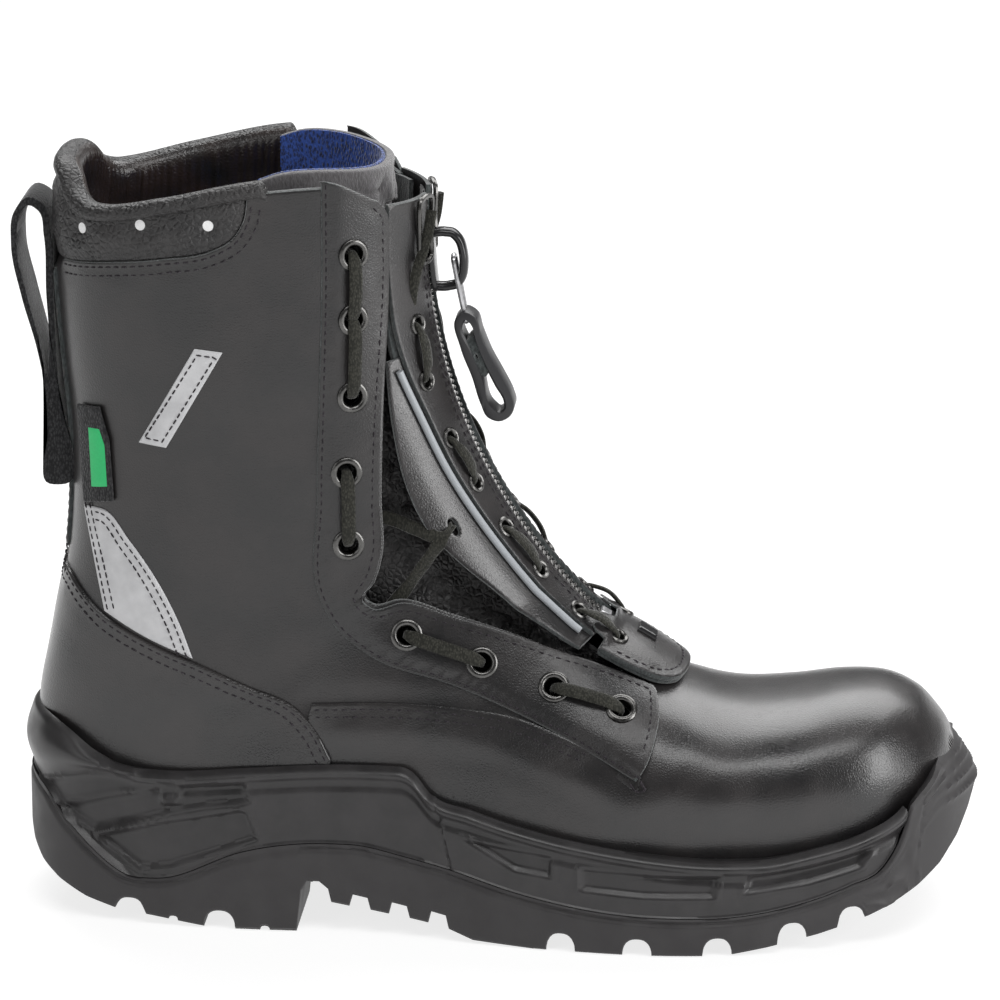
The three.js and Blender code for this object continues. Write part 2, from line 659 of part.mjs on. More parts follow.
const CROWN = polar(CROWN_ANGLE, ZIP_RADIUS - CROWN_OUT, 0);
const LINK_END = new THREE.Vector3(-10.2, 0, 197.4);
const STRAP_END = new THREE.Vector3(-0.5, 0, 169.3);

// A flat shape drawn along from->to and across Y, given a thickness.
function plateAlong(shape, from, to, thick) {
  const geometry = new THREE.ExtrudeGeometry(shape,
    { depth: thick, bevelEnabled: false, curveSegments: 6 });
  geometry.translate(0, 0, -thick / 2);
  const along = to.clone().sub(from).normalize();
  const across = new THREE.Vector3(0, 1, 0);
  const normal = along.clone().cross(across);
  geometry.applyMatrix4(new THREE.Matrix4().makeBasis(along, across, normal));
  geometry.translate(from.x, from.y, from.z);
  return solidFrom(geometry);
}

function flatLink(from, to, half, thick) {
  const length = from.distanceTo(to);
  const shape = new THREE.Shape();
  shape.absarc(0, 0, half, Math.PI / 2, 3 * Math.PI / 2);
  shape.absarc(length, 0, half, -Math.PI / 2, Math.PI / 2);
  return plateAlong(shape, from, to, thick);
}

function slotAlong(from, to, start, end, half) {
  const shape = new THREE.Shape([[start, -half], [end, -half], [end, half], [start, half]]
    .map(([u, v]) => new THREE.Vector2(u, v)));
  return plateAlong(shape, from, to, 10);
}

const PULLER_HALF = 3.6;
const BAR = 0.6;                 // half the width of the bar inside the crown
const STRAP_BAR = 0.9;           // half the width of the bar inside the strap's loop
const LOOP_HALF = 2.2;

function puller() {
  // A bar at each end: one through the slider's crown, one through the strap's loop.
  const length = CROWN.distanceTo(LINK_END);
  const slot = (start, end, half) => slotAlong(CROWN, LINK_END, start, end, half);
  return flatLink(CROWN, LINK_END, PULLER_HALF, 1.3)
    .subtract(slot(-9, -BAR, 9))
    .subtract(slot(BAR, 6.6, 2.3))
    .subtract(slot(length - 4, length - STRAP_BAR, LOOP_HALF + 0.4))
    .subtract(slot(length + STRAP_BAR, length + 9, 9));
}

function pullStrap() {
  const along = STRAP_END.clone().sub(LINK_END).normalize();
  const start = LINK_END.clone().addScaledVector(along, 7.5);
  const tab = flatLink(start, STRAP_END, 5, 3.2);
  const neck = slotAlong(LINK_END, STRAP_END, 2, 6, LOOP_HALF)
    .intersect(flatLink(LINK_END, STRAP_END, 9, 2.4));
  const ring = turned([[1.5, -LOOP_HALF], [2.7, -LOOP_HALF], [2.7, LOOP_HALF],
    [1.5, LOOP_HALF], [1.5, -LOOP_HALF]], LINK_END, new THREE.Vector3(0, 1, 0), 12);
  return Manifold.union([tab, neck, ring]);
}

// ---------------------------------------------------------------- laces
const LACE_RADIUS = 1.2;

function insertEyelet(index, side, out) {
  // Oval holes near the strip's edge take the lace from the facing.
  const angle = 9 + index * 8.2;
  return onArc(angle, out, side * (INSERT_HALF - 8.5));
}

function underEdge(index, side) {
  // Behind the facing, on the way from an eyelet to its front edge.
  const [x, z] = EYELET_PLACES[index];
  const { angle, turn } = placeOn(x, z, side);
  const step = index < 5 ? 9 : 14;
  return offsetPoint(angle, side < 0 ? turn + step : turn - step, -LEATHER - 3.8);
}

function lace(side) {
  const over = GAP + OVERLAY + GAP + 1 + LACE_RADIUS + GAP;
  const under = -LEATHER - LACE_RADIUS - GAP - 0.4;
  const eye = (index, distance) => lift(eyeletFrame(index, side), distance);
  const points = [onArc(-1, -4.6, side * 16), underEdge(0, side), eye(0, under), eye(0, 1)];
  const overRun = (first, last) => {
    for (let i = first; i <= last; i += 1) points.push(eye(i, over));
  };
  const cross = (from, to, index) => {
    points.push(eye(from, 1), eye(from, under), underEdge(from, side));
    points.push(insertEyelet(index, side, -4.6));
    points.push(underEdge(to, side), eye(to, under), eye(to, 1));
  };
  overRun(0, 2);
  cross(2, 3, 1);
  overRun(3, 4);
  cross(4, 5, 3);
  overRun(5, 6);
  cross(6, 7, 4);
  overRun(7, 8);
  points.push(eye(8, 1), eye(8, under));
  return tube(points, LACE_RADIUS, 2, 3);
}

// ---------------------------------------------------------------- assembly
const BLACK_LEATHER = { color: 0x17171a, roughness: 0.35 };
const SOFT_LEATHER = { color: 0x1c1c20, roughness: 0.5 };
const RUBBER = { color: 0x19191b, roughness: 0.75 };
const FOAM_RUBBER = { color: 0x1e1e21, roughness: 0.65 };
const TEXTILE = { color: 0x26262b, roughness: 0.9 };
const LINING_BLUE = { color: 0x2c3a63, roughness: 0.95 };
const REFLECTIVE = { color: 0xb8bcc0, roughness: 0.45 };
const GREEN = { color: 0x1fa64a, roughness: 0.6 };
const GUNMETAL = { color: 0x3a3c42, roughness: 0.35, metalness: 0.9 };
const STEEL = { color: 0x9a9da3, roughness: 0.35, metalness: 0.9 };
const CORD = { color: 0x2b2c25, roughness: 0.9 };
const BOARD_FIBRE = { color: 0x8f7d5f, roughness: 0.9 };

const FLATNESS = 0.06;            // facets flatter than this are joined

const boot = new THREE.Group();
boot.name = 'fire_boot';

function add(name, body, look) {
  const tidy = body.simplify(FLATNESS);
  const mesh = new THREE.Mesh(geometryFrom(tidy), new THREE.MeshStandardMaterial(look));
  mesh.name = name;
  boot.add(mesh);
}

add('outsole', outsole(), RUBBER);
add('midsole', midsole(), FOAM_RUBBER);
add('puncture_plate', puncturePlate(), STEEL);
add('insole_board', insoleBoard(), BOARD_FIBRE);
add('arch_shank', archShank(), STEEL);
add('footbed', footbed(), TEXTILE);
add('toe_cap', toeCap(), STEEL);
add('heel_counter', heelCounter(), BOARD_FIBRE);
add('ankle_foam', ankleFoam(), LINING_BLUE);
add('lining_bootie', bootie(), LINING_BLUE);
add('tongue', tongue(), SOFT_LEATHER);
add('vamp', vamp(), BLACK_LEATHER);
add('counter_cover', counterCover(), BLACK_LEATHER);
add('back_strip', backStrip(), BLACK_LEATHER);
add('collar_pad', collarPad(), SOFT_LEATHER);
add('collar_roll', collarRoll(), SOFT_LEATHER);
add('pull_loop', pullLoop(), TEXTILE);
add('side_label', sideLabel(), GREEN);
add('insert_end', insertEnd(), BLACK_LEATHER);
add('bottom_stop', bottomStop(), GUNMETAL);
add('end_stud', endStud(), GUNMETAL);
add('slider_body', sliderBody(), GUNMETAL);
add('puller', puller(), GUNMETAL);
add('pull_strap', pullStrap(), BLACK_LEATHER);

for (const [side, label] of [[-1, 'outer'], [1, 'inner']]) {
  add(`quarter_${label}`, quarter(side), BLACK_LEATHER);
  add(`facing_${label}`, facing(side), BLACK_LEATHER);
  add(`heel_reflector_${label}`, heelReflector(side), REFLECTIVE);
  add(`side_reflector_${label}`, sideReflector(side), REFLECTIVE);
  add(`insert_leather_${label}`, insertLeather(side), BLACK_LEATHER);
  add(`zip_tape_${label}`, zipTape(side), TEXTILE);
  add(`zip_teeth_${label}`, zipTeeth(side), GUNMETAL);
  add(`lace_hook_${label}`, laceHook(side), GUNMETAL);
  add(`lace_${label}`, lace(side), CORD);
  EYELET_PLACES.forEach((_, index) => {
    add(`eyelet_${label}_${index + 1}`, eyelet(index, side), GUNMETAL);
  });
}

export default boot;
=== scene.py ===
"""The looks of one right fire boot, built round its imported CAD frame.

The script works in millimetres, in the frame's axes (+X toward the toe, +Z up, -Y the outer side),
and turns to metres when a mesh is made. The upper is one swept surface: its sections turn round the
zipper's centre, and a place on it is (angle, turn), where turn 0 is the front, 90 the inner side,
180 the back and 270 the outer side.
"""

import math

import bmesh
import bpy
import numpy as np
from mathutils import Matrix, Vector, geometry, kdtree


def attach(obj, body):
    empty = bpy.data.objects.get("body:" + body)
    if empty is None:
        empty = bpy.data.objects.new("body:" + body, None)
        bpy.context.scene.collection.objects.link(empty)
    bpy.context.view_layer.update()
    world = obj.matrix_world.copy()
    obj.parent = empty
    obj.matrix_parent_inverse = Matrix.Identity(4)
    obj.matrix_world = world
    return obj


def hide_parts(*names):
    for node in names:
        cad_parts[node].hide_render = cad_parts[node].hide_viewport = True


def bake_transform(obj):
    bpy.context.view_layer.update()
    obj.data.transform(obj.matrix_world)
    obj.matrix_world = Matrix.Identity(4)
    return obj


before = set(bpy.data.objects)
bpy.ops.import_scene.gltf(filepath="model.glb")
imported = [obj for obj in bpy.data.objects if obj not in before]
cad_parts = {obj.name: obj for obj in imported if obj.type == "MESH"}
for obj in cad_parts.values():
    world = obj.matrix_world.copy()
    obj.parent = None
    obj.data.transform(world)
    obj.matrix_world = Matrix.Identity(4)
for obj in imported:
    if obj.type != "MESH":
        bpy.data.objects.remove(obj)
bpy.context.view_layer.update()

MM = 0.001
OUTER, INNER = -1, 1
SIDES = {"outer": OUTER, "inner": INNER}

# ------------------------------------------------------------------ the upper's surface
CENTRE_X, CENTRE_Z = 155, 230
ZIP_RADIUS = 175
STATIONS = np.array([
    # angle, front radius, widest radius, back radius, half width, middle y, back squareness
    [-9, 181, 240, 297, 42, 0, 2.5],
    [0, 181, 240, 297.6, 42, 0, 2.5],
    [10, 181, 241, 299.4, 40.5, 0, 2.5],
    [15, 181, 245, 303.8, 39, 0, 2.5],
    [20, 181, 252, 314, 38, 0, 2.5],
    [24, 182, 262, 328.5, 37, 0, 2.4],
    [28, 183, 272, 346, 36, 0, 2.4],
    [31, 183, 281, 355, 36, 0, 2.4],
    [33, 183, 287, 356, 36, 0, 2.5],
    [36, 183.5, 286, 333.5, 36.5, -0.5, 3],
    [40, 184, 270, 305, 37.5, -1, 3.4],
    [45, 183.3, 250, 280, 38.5, -2, 3.6],
    [50, 181.5, 234, 263.7, 41, -2.8, 3.6],
    [55, 178.7, 221, 251.5, 45, -3, 3.6],
    [60, 176.3, 211, 242, 48, -2.3, 3.6],
    [65, 172.7, 205, 234, 49.5, 0, 3.6],
    [70, 166.2, 199, 225.8, 48.5, 3, 3.6],
    [75, 159.3, 194, 219, 46, 5, 3.6],
    [80, 156.6, 190, 212.6, 41.5, 7, 3.4],
    [84, 159.8, 188, 208, 34, 9, 3.2],
    [86.5, 166, 188, 204.4, 26.5, 10, 2.8],
    [88, 172, 188, 201.5, 18, 11, 2.5],
    [88.9, 179, 189, 197, 10, 11, 2.3],
], float)
FRONT_POWER = 2.3                # squareness of the sections' front half
BACK, FRONT = 180.0, 360.0
FLAT_TURN = 45      # mm of panel plan per radian of turn
FLAT_ANGLE = 240    # mm of panel plan per radian of angle


def between(u, span, start, end, start_slope, end_slope):
    """A cubic curve's value at u (0..1), from its ends and their slopes."""
    return ((1 + 2 * u) * (1 - u) ** 2 * start + u * (1 - u) ** 2 * span * start_slope
            + u * u * (3 - 2 * u) * end + u * u * (u - 1) * span * end_slope)


def station_at(angle):
    """The section's six values at each angle, by cubic interpolation."""
    angle = np.asarray(angle, float)
    last = len(STATIONS) - 1
    index = np.clip(np.searchsorted(STATIONS[:, 0], angle, "left") - 1, 0, last - 1)
    before = np.clip(np.arange(last + 1) - 1, 0, last)
    after = np.clip(np.arange(last + 1) + 1, 0, last)
    rise = STATIONS[after] - STATIONS[before]
    slope = rise[:, 1:] / rise[:, :1]
    start, end = STATIONS[index], STATIONS[index + 1]
    span = end[..., :1] - start[..., :1]
    u = np.clip((angle[..., None] - start[..., :1]) / span, 0, 1)
    return between(u, span, start[..., 1:], end[..., 1:], slope[index], slope[index + 1])


def polar(angle, radius, y):
    """The point at an angle and a radius round the zipper's centre."""
    a = np.radians(angle)
    return np.stack([CENTRE_X - radius * np.cos(a), y + 0 * a, CENTRE_Z - radius * np.sin(a)], -1)


def surface(angle, turn):
    """Points of the upper's outer surface."""
    front, widest, back, half, middle, back_power = np.moveaxis(station_at(angle), -1, 0)
    c, s = np.cos(np.radians(turn)), np.sin(np.radians(turn))
    power = np.where(c > 0, FRONT_POWER, back_power)
    r = (np.abs(c) ** power + np.abs(s) ** power) ** (-1 / power)
    reach = np.where(c > 0, widest - front, back - widest)
    return polar(angle, widest - reach * r * c, middle + half * r * s)


def surface_normal(angle, turn):
    """Unit normals of the surface, pointing out."""
    step = 0.4
    low = np.minimum(angle, STATIONS[-1, 0] - step)
    along = surface(low + step, turn) - surface(low - step, turn)
    round_ = surface(angle, turn + step) - surface(angle, turn - step)
    normal = np.cross(along, round_)
    return normal / np.linalg.norm(normal, axis=-1, keepdims=True)


def raised(angle, turn, out):
    """Surface points moved out along the normal."""
    out = np.broadcast_to(np.asarray(out, float), np.shape(angle))
    return surface(angle, turn) + surface_normal(angle, turn) * out[..., None]


def place_on(points, side):
    """The (angle, turn) rows of the surface places seen at (x, z) from one side."""
    x, z = np.array(points, float).T
    angle = np.degrees(np.arctan2(CENTRE_Z - z, CENTRE_X - x))
    radius = np.hypot(CENTRE_X - x, CENTRE_Z - z)
    front, widest, back, _, _, back_power = station_at(angle).T
    is_front = radius < widest
    reach = np.where(is_front, widest - front, back - widest)
    power = np.where(is_front, FRONT_POWER, back_power)
    u = np.minimum(np.abs(widest - radius) / reach, 1)
    v = (1 - u ** power) ** (1 / power)
    turn = np.degrees(np.arctan2(v, np.where(is_front, u, -u)))
    return np.stack([angle, 360 - turn if side < 0 else turn], -1)


# ------------------------------------------------------------------ lines and fields
def spline(points, step=1.0, closed=False):
    """Points about `step` apart on a smooth curve through a few points."""
    p = np.array(points, float)
    if closed:
        p = np.vstack([p[-1:], p, p[:2]])
    t = np.concatenate([[0], np.cumsum(np.linalg.norm(np.diff(p, axis=0), axis=1))])
    tangent = np.gradient(p, t, axis=0)
    first, last = (t[1], t[-2]) if closed else (t[0], t[-1])
    count = max(2, int(round((last - first) / step)) + 1)
    at = np.linspace(first, last, count)
    i = np.clip(np.searchsorted(t, at, "right") - 1, 0, len(t) - 2)
    span = (t[i + 1] - t[i])[:, None]
    u = (at - t[i])[:, None] / span
    curve = between(u, span, p[i], p[i + 1], tangent[i], tangent[i + 1])
    return curve[:-1] if closed else curve


def polyline(points, step=1.0):
    """Points about `step` apart on straight stretches."""
    p = np.array(points, float)
    pieces = [np.linspace(a, b, max(2, int(math.dist(a, b) / step) + 1))[:-1]
              for a, b in zip(p, p[1:])]
    return np.vstack([*pieces, p[-1:]])


def joined(*lines):
    """One line from several that meet end to end."""
    whole = [np.asarray(lines[0], float)]
    for line in lines[1:]:
        skip = 1 if np.allclose(line[0], whole[-1][-1], atol=0.05) else 0
        whole.append(np.asarray(line, float)[skip:])
    return np.vstack(whole)


def height_of(points):
    """A smooth function z(x) through (x, z) points in order of x, with no overshoot."""
    x, z = np.array(points, float).T
    slope = np.diff(z) / np.diff(x)
    tangent = np.concatenate([slope[:1], (slope[1:] + slope[:-1]) / 2, slope[-1:]])
    flat = slope[1:] * slope[:-1] <= 0
    tangent[1:-1][flat] = 0
    limit = 3 * np.minimum(np.abs(np.append(slope, slope[-1])), np.abs(np.append(slope[0], slope)))
    tangent = np.clip(tangent, -limit, limit)

    def value(at):
        at = np.clip(at, x[0], x[-1])
        i = np.clip(np.searchsorted(x, at, "right") - 1, 0, len(x) - 2)
        span = x[i + 1] - x[i]
        return between((at - x[i]) / span, span, z[i], z[i + 1], tangent[i], tangent[i + 1])
    return value


def smoothstep(low, high, value):
    """0 up to `low`, 1 from `high`, and a smooth rise between. low > high gives a fall."""
    t = np.clip((value - low) / (high - low), 0, 1)
    return t * t * (3 - 2 * t)


def hump(value, centre, width):
    """1 at the centre, falling to 0 at `width` away."""
    t = np.clip(np.abs(value - centre) / width, 0, 1)
    return (1 - t * t) ** 2


def inside(points, outline):
    """Whether each 2-D point is inside a closed outline."""
    x, z = points[:, 0], points[:, 1]
    result = np.zeros(len(points), bool)
    for (x0, z0), (x1, z1) in zip(outline, np.roll(outline, -1, axis=0)):
        if z0 == z1:
            continue
        crosses = (z0 > z) != (z1 > z)
        result ^= crosses & (x < x0 + (z - z0) * (x1 - x0) / (z1 - z0))
    return result


def depth_inside(points, outline):
    """Distance from each 2-D point to an outline, positive inside it."""
    nearest = np.full(len(points), 1e9)
    for start, end in zip(outline, np.roll(outline, -1, axis=0)):
        side = end - start
        t = np.clip((points - start) @ side / max(side @ side, 1e-9), 0, 1)
        away = points - (start + t[:, None] * side)
        nearest = np.minimum(nearest, np.hypot(away[:, 0], away[:, 1]))
    return np.where(inside(points, outline), nearest, -nearest)


def tree_of(points):
    """A search tree over 3-D points."""
    tree = kdtree.KDTree(len(points))
    for i, p in enumerate(points):
        tree.insert(p, i)
    tree.balance()
    return tree


def distance_to(points, lines):
    """Distance from each point to the nearest of some dense 3-D lines."""
    tree = tree_of(np.vstack(lines))
    return np.array([tree.find(p)[2] for p in points])


def resampled(line, step):
    """The same line with its points `step` apart, and their running lengths."""
    length = np.concatenate([[0], np.cumsum(np.linalg.norm(np.diff(line, axis=0), axis=1))])
    at = np.linspace(0, length[-1], max(2, int(round(length[-1] / step)) + 1))
    return np.stack([np.interp(at, length, line[:, k]) for k in range(line.shape[1])], -1)


def noise_field(points, scale, seed):
    """Smooth pseudo-random values in -1..1 from a few sine waves: the same each run."""
    rng = np.random.default_rng(seed)
    total = np.zeros(len(points))
    for _ in range(6):
        wave = rng.normal(size=3) * 2 * math.pi / scale
        total += np.sin(points @ wave + rng.uniform(0, 2 * math.pi))
    return total / 3


# ------------------------------------------------------------------ making pieces
def free_piece(name, points, faces, look, slot):
    """A mesh object from points in millimetres, without a body yet."""
    mesh = bpy.data.meshes.new(name)
    mesh.from_pydata((np.asarray(points) * MM).tolist(), [], [list(map(int, f)) for f in faces])
    mesh.update()
    mesh.shade_smooth()
    mesh.materials.append(look)
    piece = bpy.data.objects.new(name, mesh)
    bpy.context.scene.collection.objects.link(piece)
    return piece


def make(name, points, faces, look, slot, body="boot", replaced=(), sharp=40):
    """A mesh object that rides on a body, with its edges sharp past an angle in degrees."""
    piece = free_piece(name, points, faces, look, slot)
    piece.data.set_sharp_from_angle(angle=math.radians(sharp))
    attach(piece, body)
    if replaced:
        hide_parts(*replaced)
    return piece


def grid_faces(rows, columns, close_rows=False, close_columns=False, start=0):
    """Quads between the points of a rows x columns grid."""
    faces = []
    for r in range(rows if close_rows else rows - 1):
        for c in range(columns if close_columns else columns - 1):
            r1, c1 = (r + 1) % rows, (c + 1) % columns
            faces.append([start + r * columns + c, start + r * columns + c1,
                          start + r1 * columns + c1, start + r1 * columns + c])
    return faces


def tube_faces(rings, sides):
    """Faces of a tube with equal rings of points and filled ends."""
    last = (rings - 1) * sides
    ends = [list(range(sides))[::-1], [last + k for k in range(sides)]]
    return grid_faces(rings, sides, close_columns=True) + ends


def signed_volume(points, faces):
    """The volume inside a closed mesh, negative when its faces point inward."""
    total = 0.0
    for f in faces:
        a = points[f[0]]
        for i in range(1, len(f) - 1):
            total += np.dot(a, np.cross(points[f[i]], points[f[i + 1]]))
    return total


def outward(points, faces):
    """The same part with its faces turned outward."""
    if signed_volume(points - points.mean(0), faces) < 0:
        faces = [f[::-1] for f in faces]
    return points, faces


def merged(parts):
    """Points and faces of several (points, faces) parts as one mesh."""
    points, faces, start = [], [], 0
    for part_points, part_faces in parts:
        points.append(part_points)
        faces += [[i + start for i in f] for f in part_faces]
        start += len(part_points)
    return np.vstack(points), faces


POINT_GAP = 0.15                 # points of an outline that lie closer than this are one


class Chart:
    """A curved surface with two coordinates, and a flat plan of it in millimetres."""

    def __init__(self, point, normal, per_first, per_second):
        self.point, self.normal = point, normal
        self.scale = np.array([per_first, per_second], float)

    def raised(self, first, second, out):
        """Points moved out along the surface's normal."""
        out = np.broadcast_to(np.asarray(out, float), np.shape(first))
        return self.point(first, second) + self.normal(first, second) * out[..., None]

    def to_flat(self, places):
        """Places on the flat plan."""
        return (places * self.scale)[:, ::-1]

    def from_flat(self, flat):
        """The two coordinates of points on the flat plan."""
        return flat[:, 1] / self.scale[0], flat[:, 0] / self.scale[1]

    def shifted(self, places, distance, closed=False):
        """A line of places moved sideways on the surface, to the left seen from outside."""
        first, second = places.T
        step = 0.05
        per_first = self.point(first + step, second) - self.point(first - step, second)
        per_second = self.point(first, second + step) - self.point(first, second - step)
        per_first, per_second = per_first / (2 * step), per_second / (2 * step)
        points = self.point(first, second)
        if closed:
            tangent = np.roll(points, -1, axis=0) - np.roll(points, 1, axis=0)
        else:
            tangent = np.gradient(points, axis=0)
        side = np.cross(self.normal(first, second), tangent)
        side /= np.maximum(np.linalg.norm(side, axis=1, keepdims=True), 1e-9)
        ff, ss = (per_first ** 2).sum(1), (per_second ** 2).sum(1)
        fs = (per_first * per_second).sum(1)
        sf, st = (side * per_first).sum(1), (side * per_second).sum(1)
        det = ff * ss - fs ** 2
        move = np.stack([(sf * ss - st * fs) / det, (st * ff - sf * fs) / det], -1)
        return places + distance * move

    def closed(self, outline):
        """A closed outline without points that lie together."""
        flat = self.to_flat(outline)
        keep = [0]
        for i in range(1, len(outline)):
            if np.hypot(*(flat[i] - flat[keep[-1]])) > POINT_GAP:
                keep.append(i)
        if np.hypot(*(flat[keep[-1]] - flat[0])) < POINT_GAP:
            keep.pop()
        return outline[keep]

    def dense(self, places, step=0.3, closed=True, out=0.0):
        """3-D points along a line of places, close together."""
        line = np.vstack([places, places[:1]]) if closed else places
        fine = resampled(np.column_stack([self.to_flat(line), line]), step)[:, 2:]
        return self.raised(fine[:, 0], fine[:, 1], out)

    def line(self, places, step=0.4):
        """Places along the same line, closer together."""
        return resampled(np.column_stack([self.to_flat(places), places]), step)[:, 2:]


UPPER = Chart(surface, surface_normal, math.radians(1) * FLAT_ANGLE, math.radians(1) * FLAT_TURN)


def strip_curve(angle):
    """The front of the leg bends across the zipper's strip, less so over the instep."""
    return 34 + 24 * np.clip((np.asarray(angle, float) - 40) / 16, 0, 1)


STRIP_SINK = 3.8                 # the strip lies this much closer to the foot above its end


def strip_point(angle, y):
    """Points of the zipper strip's surface."""
    curve = strip_curve(angle)
    y = np.asarray(y, float)
    sink = STRIP_SINK * smoothstep(54, 45, np.asarray(angle, float))
    return polar(angle, ZIP_RADIUS + sink + curve - np.sqrt(curve ** 2 - y * y), y)


def strip_normal(angle, y):
    """Unit normals of the strip, pointing out."""
    step = 0.2
    along = strip_point(angle + step, y) - strip_point(angle - step, y)
    across = strip_point(angle, y + step) - strip_point(angle, y - step)
    normal = np.cross(along, across)
    return normal / np.linalg.norm(normal, axis=-1, keepdims=True)


STRIP = Chart(strip_point, strip_normal, math.radians(1) * ZIP_RADIUS, 1.0)


def triangulated(chart, outline, holes, spacing, rings):
    """Triangles over a panel's plan, with rows of points that follow its edges."""
    loops = [outline, *holes]
    edges, start = [], 0
    for loop in loops:
        edges += [(start + i, start + (i + 1) % len(loop)) for i in range(len(loop))]
        start += len(loop)
    flat_loops = [chart.to_flat(loop) for loop in loops]
    boundary = np.vstack([chart.dense(loop) for loop in loops])
    tree = tree_of(boundary)
    inner = []
    for ring in rings:
        for loop in loops:
            for way in (ring, -ring):
                places = chart.shifted(loop, way, closed=True)
                near = np.array([tree.find(p)[2] for p in chart.point(*places.T)])
                inner.append(chart.to_flat(places)[near > 0.85 * ring])
    low, high = flat_loops[0].min(0), flat_loops[0].max(0)
    hexes = []
    for i, v in enumerate(np.arange(low[1], high[1], spacing * 0.866)):
        u = np.arange(low[0] + (i % 2) * spacing / 2, high[0], spacing)
        hexes.append(np.column_stack([u, np.full(len(u), v)]))
    grid = np.vstack(hexes)
    grid = grid[inside(grid, flat_loops[0])]
    near = np.array([tree.find(p)[2] for p in chart.point(*chart.from_flat(grid))])
    grid = grid[near > (rings[-1] if rings else 0) + 0.6 * spacing]
    candidates = np.vstack([*inner, grid])
    keep = inside(candidates, flat_loops[0])
    for hole in flat_loops[1:]:
        keep &= ~inside(candidates, hole)
    points = np.vstack([*flat_loops, candidates[keep]])
    made, _, triangles, source, _, _ = geometry.delaunay_2d_cdt(
        [Vector(p) for p in points], edges, [], 0, 1e-4)
    made = np.array([(v.x, v.y) for v in made])
    triangles = np.array([list(t) for t in triangles])
    middle = made[triangles].mean(1)
    keep = inside(middle, flat_loops[0])
    for hole in flat_loops[1:]:
        keep &= ~inside(middle, hole)
    triangles = triangles[keep]
    first, second, third = (made[triangles[:, k]] for k in range(3))
    ahead, beside = second - first, third - first
    turned = ahead[:, 0] * beside[:, 1] - ahead[:, 1] * beside[:, 0] > 0
    triangles[turned] = triangles[turned][:, ::-1]
    index = np.arange(len(points))
    for new, originals in enumerate(source):
        for original in originals:
            index[original] = new
    loop_indices, start = [], 0
    for loop in loops:
        loop_indices.append(index[start:start + len(loop)])
        start += len(loop)
    return chart.from_flat(made), triangles, loop_indices, tree


def rounded(distance, radius):
    """How far a rounded edge has dropped at a distance from it, for a radius."""
    t = np.clip(1 - distance / radius, 0, 1)
    return radius * (1 - np.sqrt(np.maximum(1 - t * t, 0)))


def panel(name, look, slot, outline, thick, base=0.0, holes=(), spacing=2.2, edge=0.6,
          rings=(0.25, 0.6, 1.2), grooves=(), shape=None, chart=UPPER, under=0.15, edge_look=None,
          lift=None, **place):
    """A piece of leather or cloth that lies on a chart, with rounded edges.

    outline and holes are closed loops of places; grooves are (3-D line, width, depth);
    shape(first, second, points, distance to the edge) adds to the height, and
    lift(first, second) raises both faces.
    """
    (first, second), triangles, loops, tree = triangulated(chart, outline, holes, spacing, rings)
    points, normal = chart.point(first, second), chart.normal(first, second)
    distance = np.array([tree.find(p)[2] for p in points])
    distance[np.concatenate(loops)] = 0
    height = base + thick - rounded(distance, edge)
    for line, width, depth in grooves:
        height -= depth * hump(distance_to(points, [line]), 0, width)
    if shape is not None:
        height += shape(first, second, points, distance)
    height = np.maximum(height, base + 0.1)
    raise_by = 0 * first if lift is None else lift(first, second)
    top = points + normal * (height + raise_by)[:, None]
    bottom = points + normal * (base - under + raise_by)[:, None]
    used = len(points)
    triangles = triangles.tolist()
    faces = triangles + [[i + used for i in t[::-1]] for t in triangles]
    directed = {(t[k], t[(k + 1) % 3]) for t in triangles for k in range(3)}
    walls = []
    for loop in loops:
        for a, b in zip(loop.tolist(), np.roll(loop, -1).tolist()):
            if (a, b) in directed:
                walls.append([b, a, a + used, b + used])
            elif (b, a) in directed:
                walls.append([a, b, b + used, a + used])
    piece = make(name, np.vstack([top, bottom]), faces + walls, look, slot, **place)
    if edge_look is not None:
        piece.data.materials.append(edge_look)
        for wall in piece.data.polygons[len(faces):]:
            wall.material_index = 1
        for k, t in enumerate(triangles):
            if distance[t].max() < 0.3:
                piece.data.polygons[k].material_index = 1
    return piece


STITCH_PITCH = 3.0
STITCH_LENGTH = 2.2
STITCH_RADIUS = 0.27
STITCH_SIDES = 6


def stitch_parts(line, normals, pitch=STITCH_PITCH, length=STITCH_LENGTH, radius=STITCH_RADIUS):
    """Thread stitches along a 3-D line: small capsules whose ends dive into the leather."""
    path = resampled(np.column_stack([line, normals]), pitch / 6)
    centres = path[3::6]
    ahead = path[4::6]
    count = min(len(centres), len(ahead))
    centres, ahead = centres[:count], ahead[:count]
    if count == 0:
        return []
    normal = centres[:, 3:] / np.linalg.norm(centres[:, 3:], axis=1, keepdims=True)
    tangent = ahead[:, :3] - centres[:, :3]
    tangent /= np.linalg.norm(tangent, axis=1, keepdims=True)
    side = np.cross(tangent, normal)
    along = np.array([-1, -0.72, 0, 0.72, 1]) * length / 2
    swell = np.array([0.45, 1, 1.1, 1, 0.45]) * radius
    sink = np.array([-1.1, 0, 0.3, 0, -1.1]) * radius
    turn = np.arange(STITCH_SIDES) * 2 * math.pi / STITCH_SIDES
    ring = (np.cos(turn)[None, :, None] * side[:, None, None, :]
            + np.sin(turn)[None, :, None] * normal[:, None, None, :])
    points = (centres[:, None, None, :3] + along[None, :, None, None] * tangent[:, None, None, :]
              + sink[None, :, None, None] * normal[:, None, None, :]
              + swell[None, :, None, None] * ring)
    size = len(along) * STITCH_SIDES
    one = tube_faces(len(along), STITCH_SIDES)
    faces = [[i + n * size for i in f] for n in range(count) for f in one]
    return [(points.reshape(-1, 3), faces)]


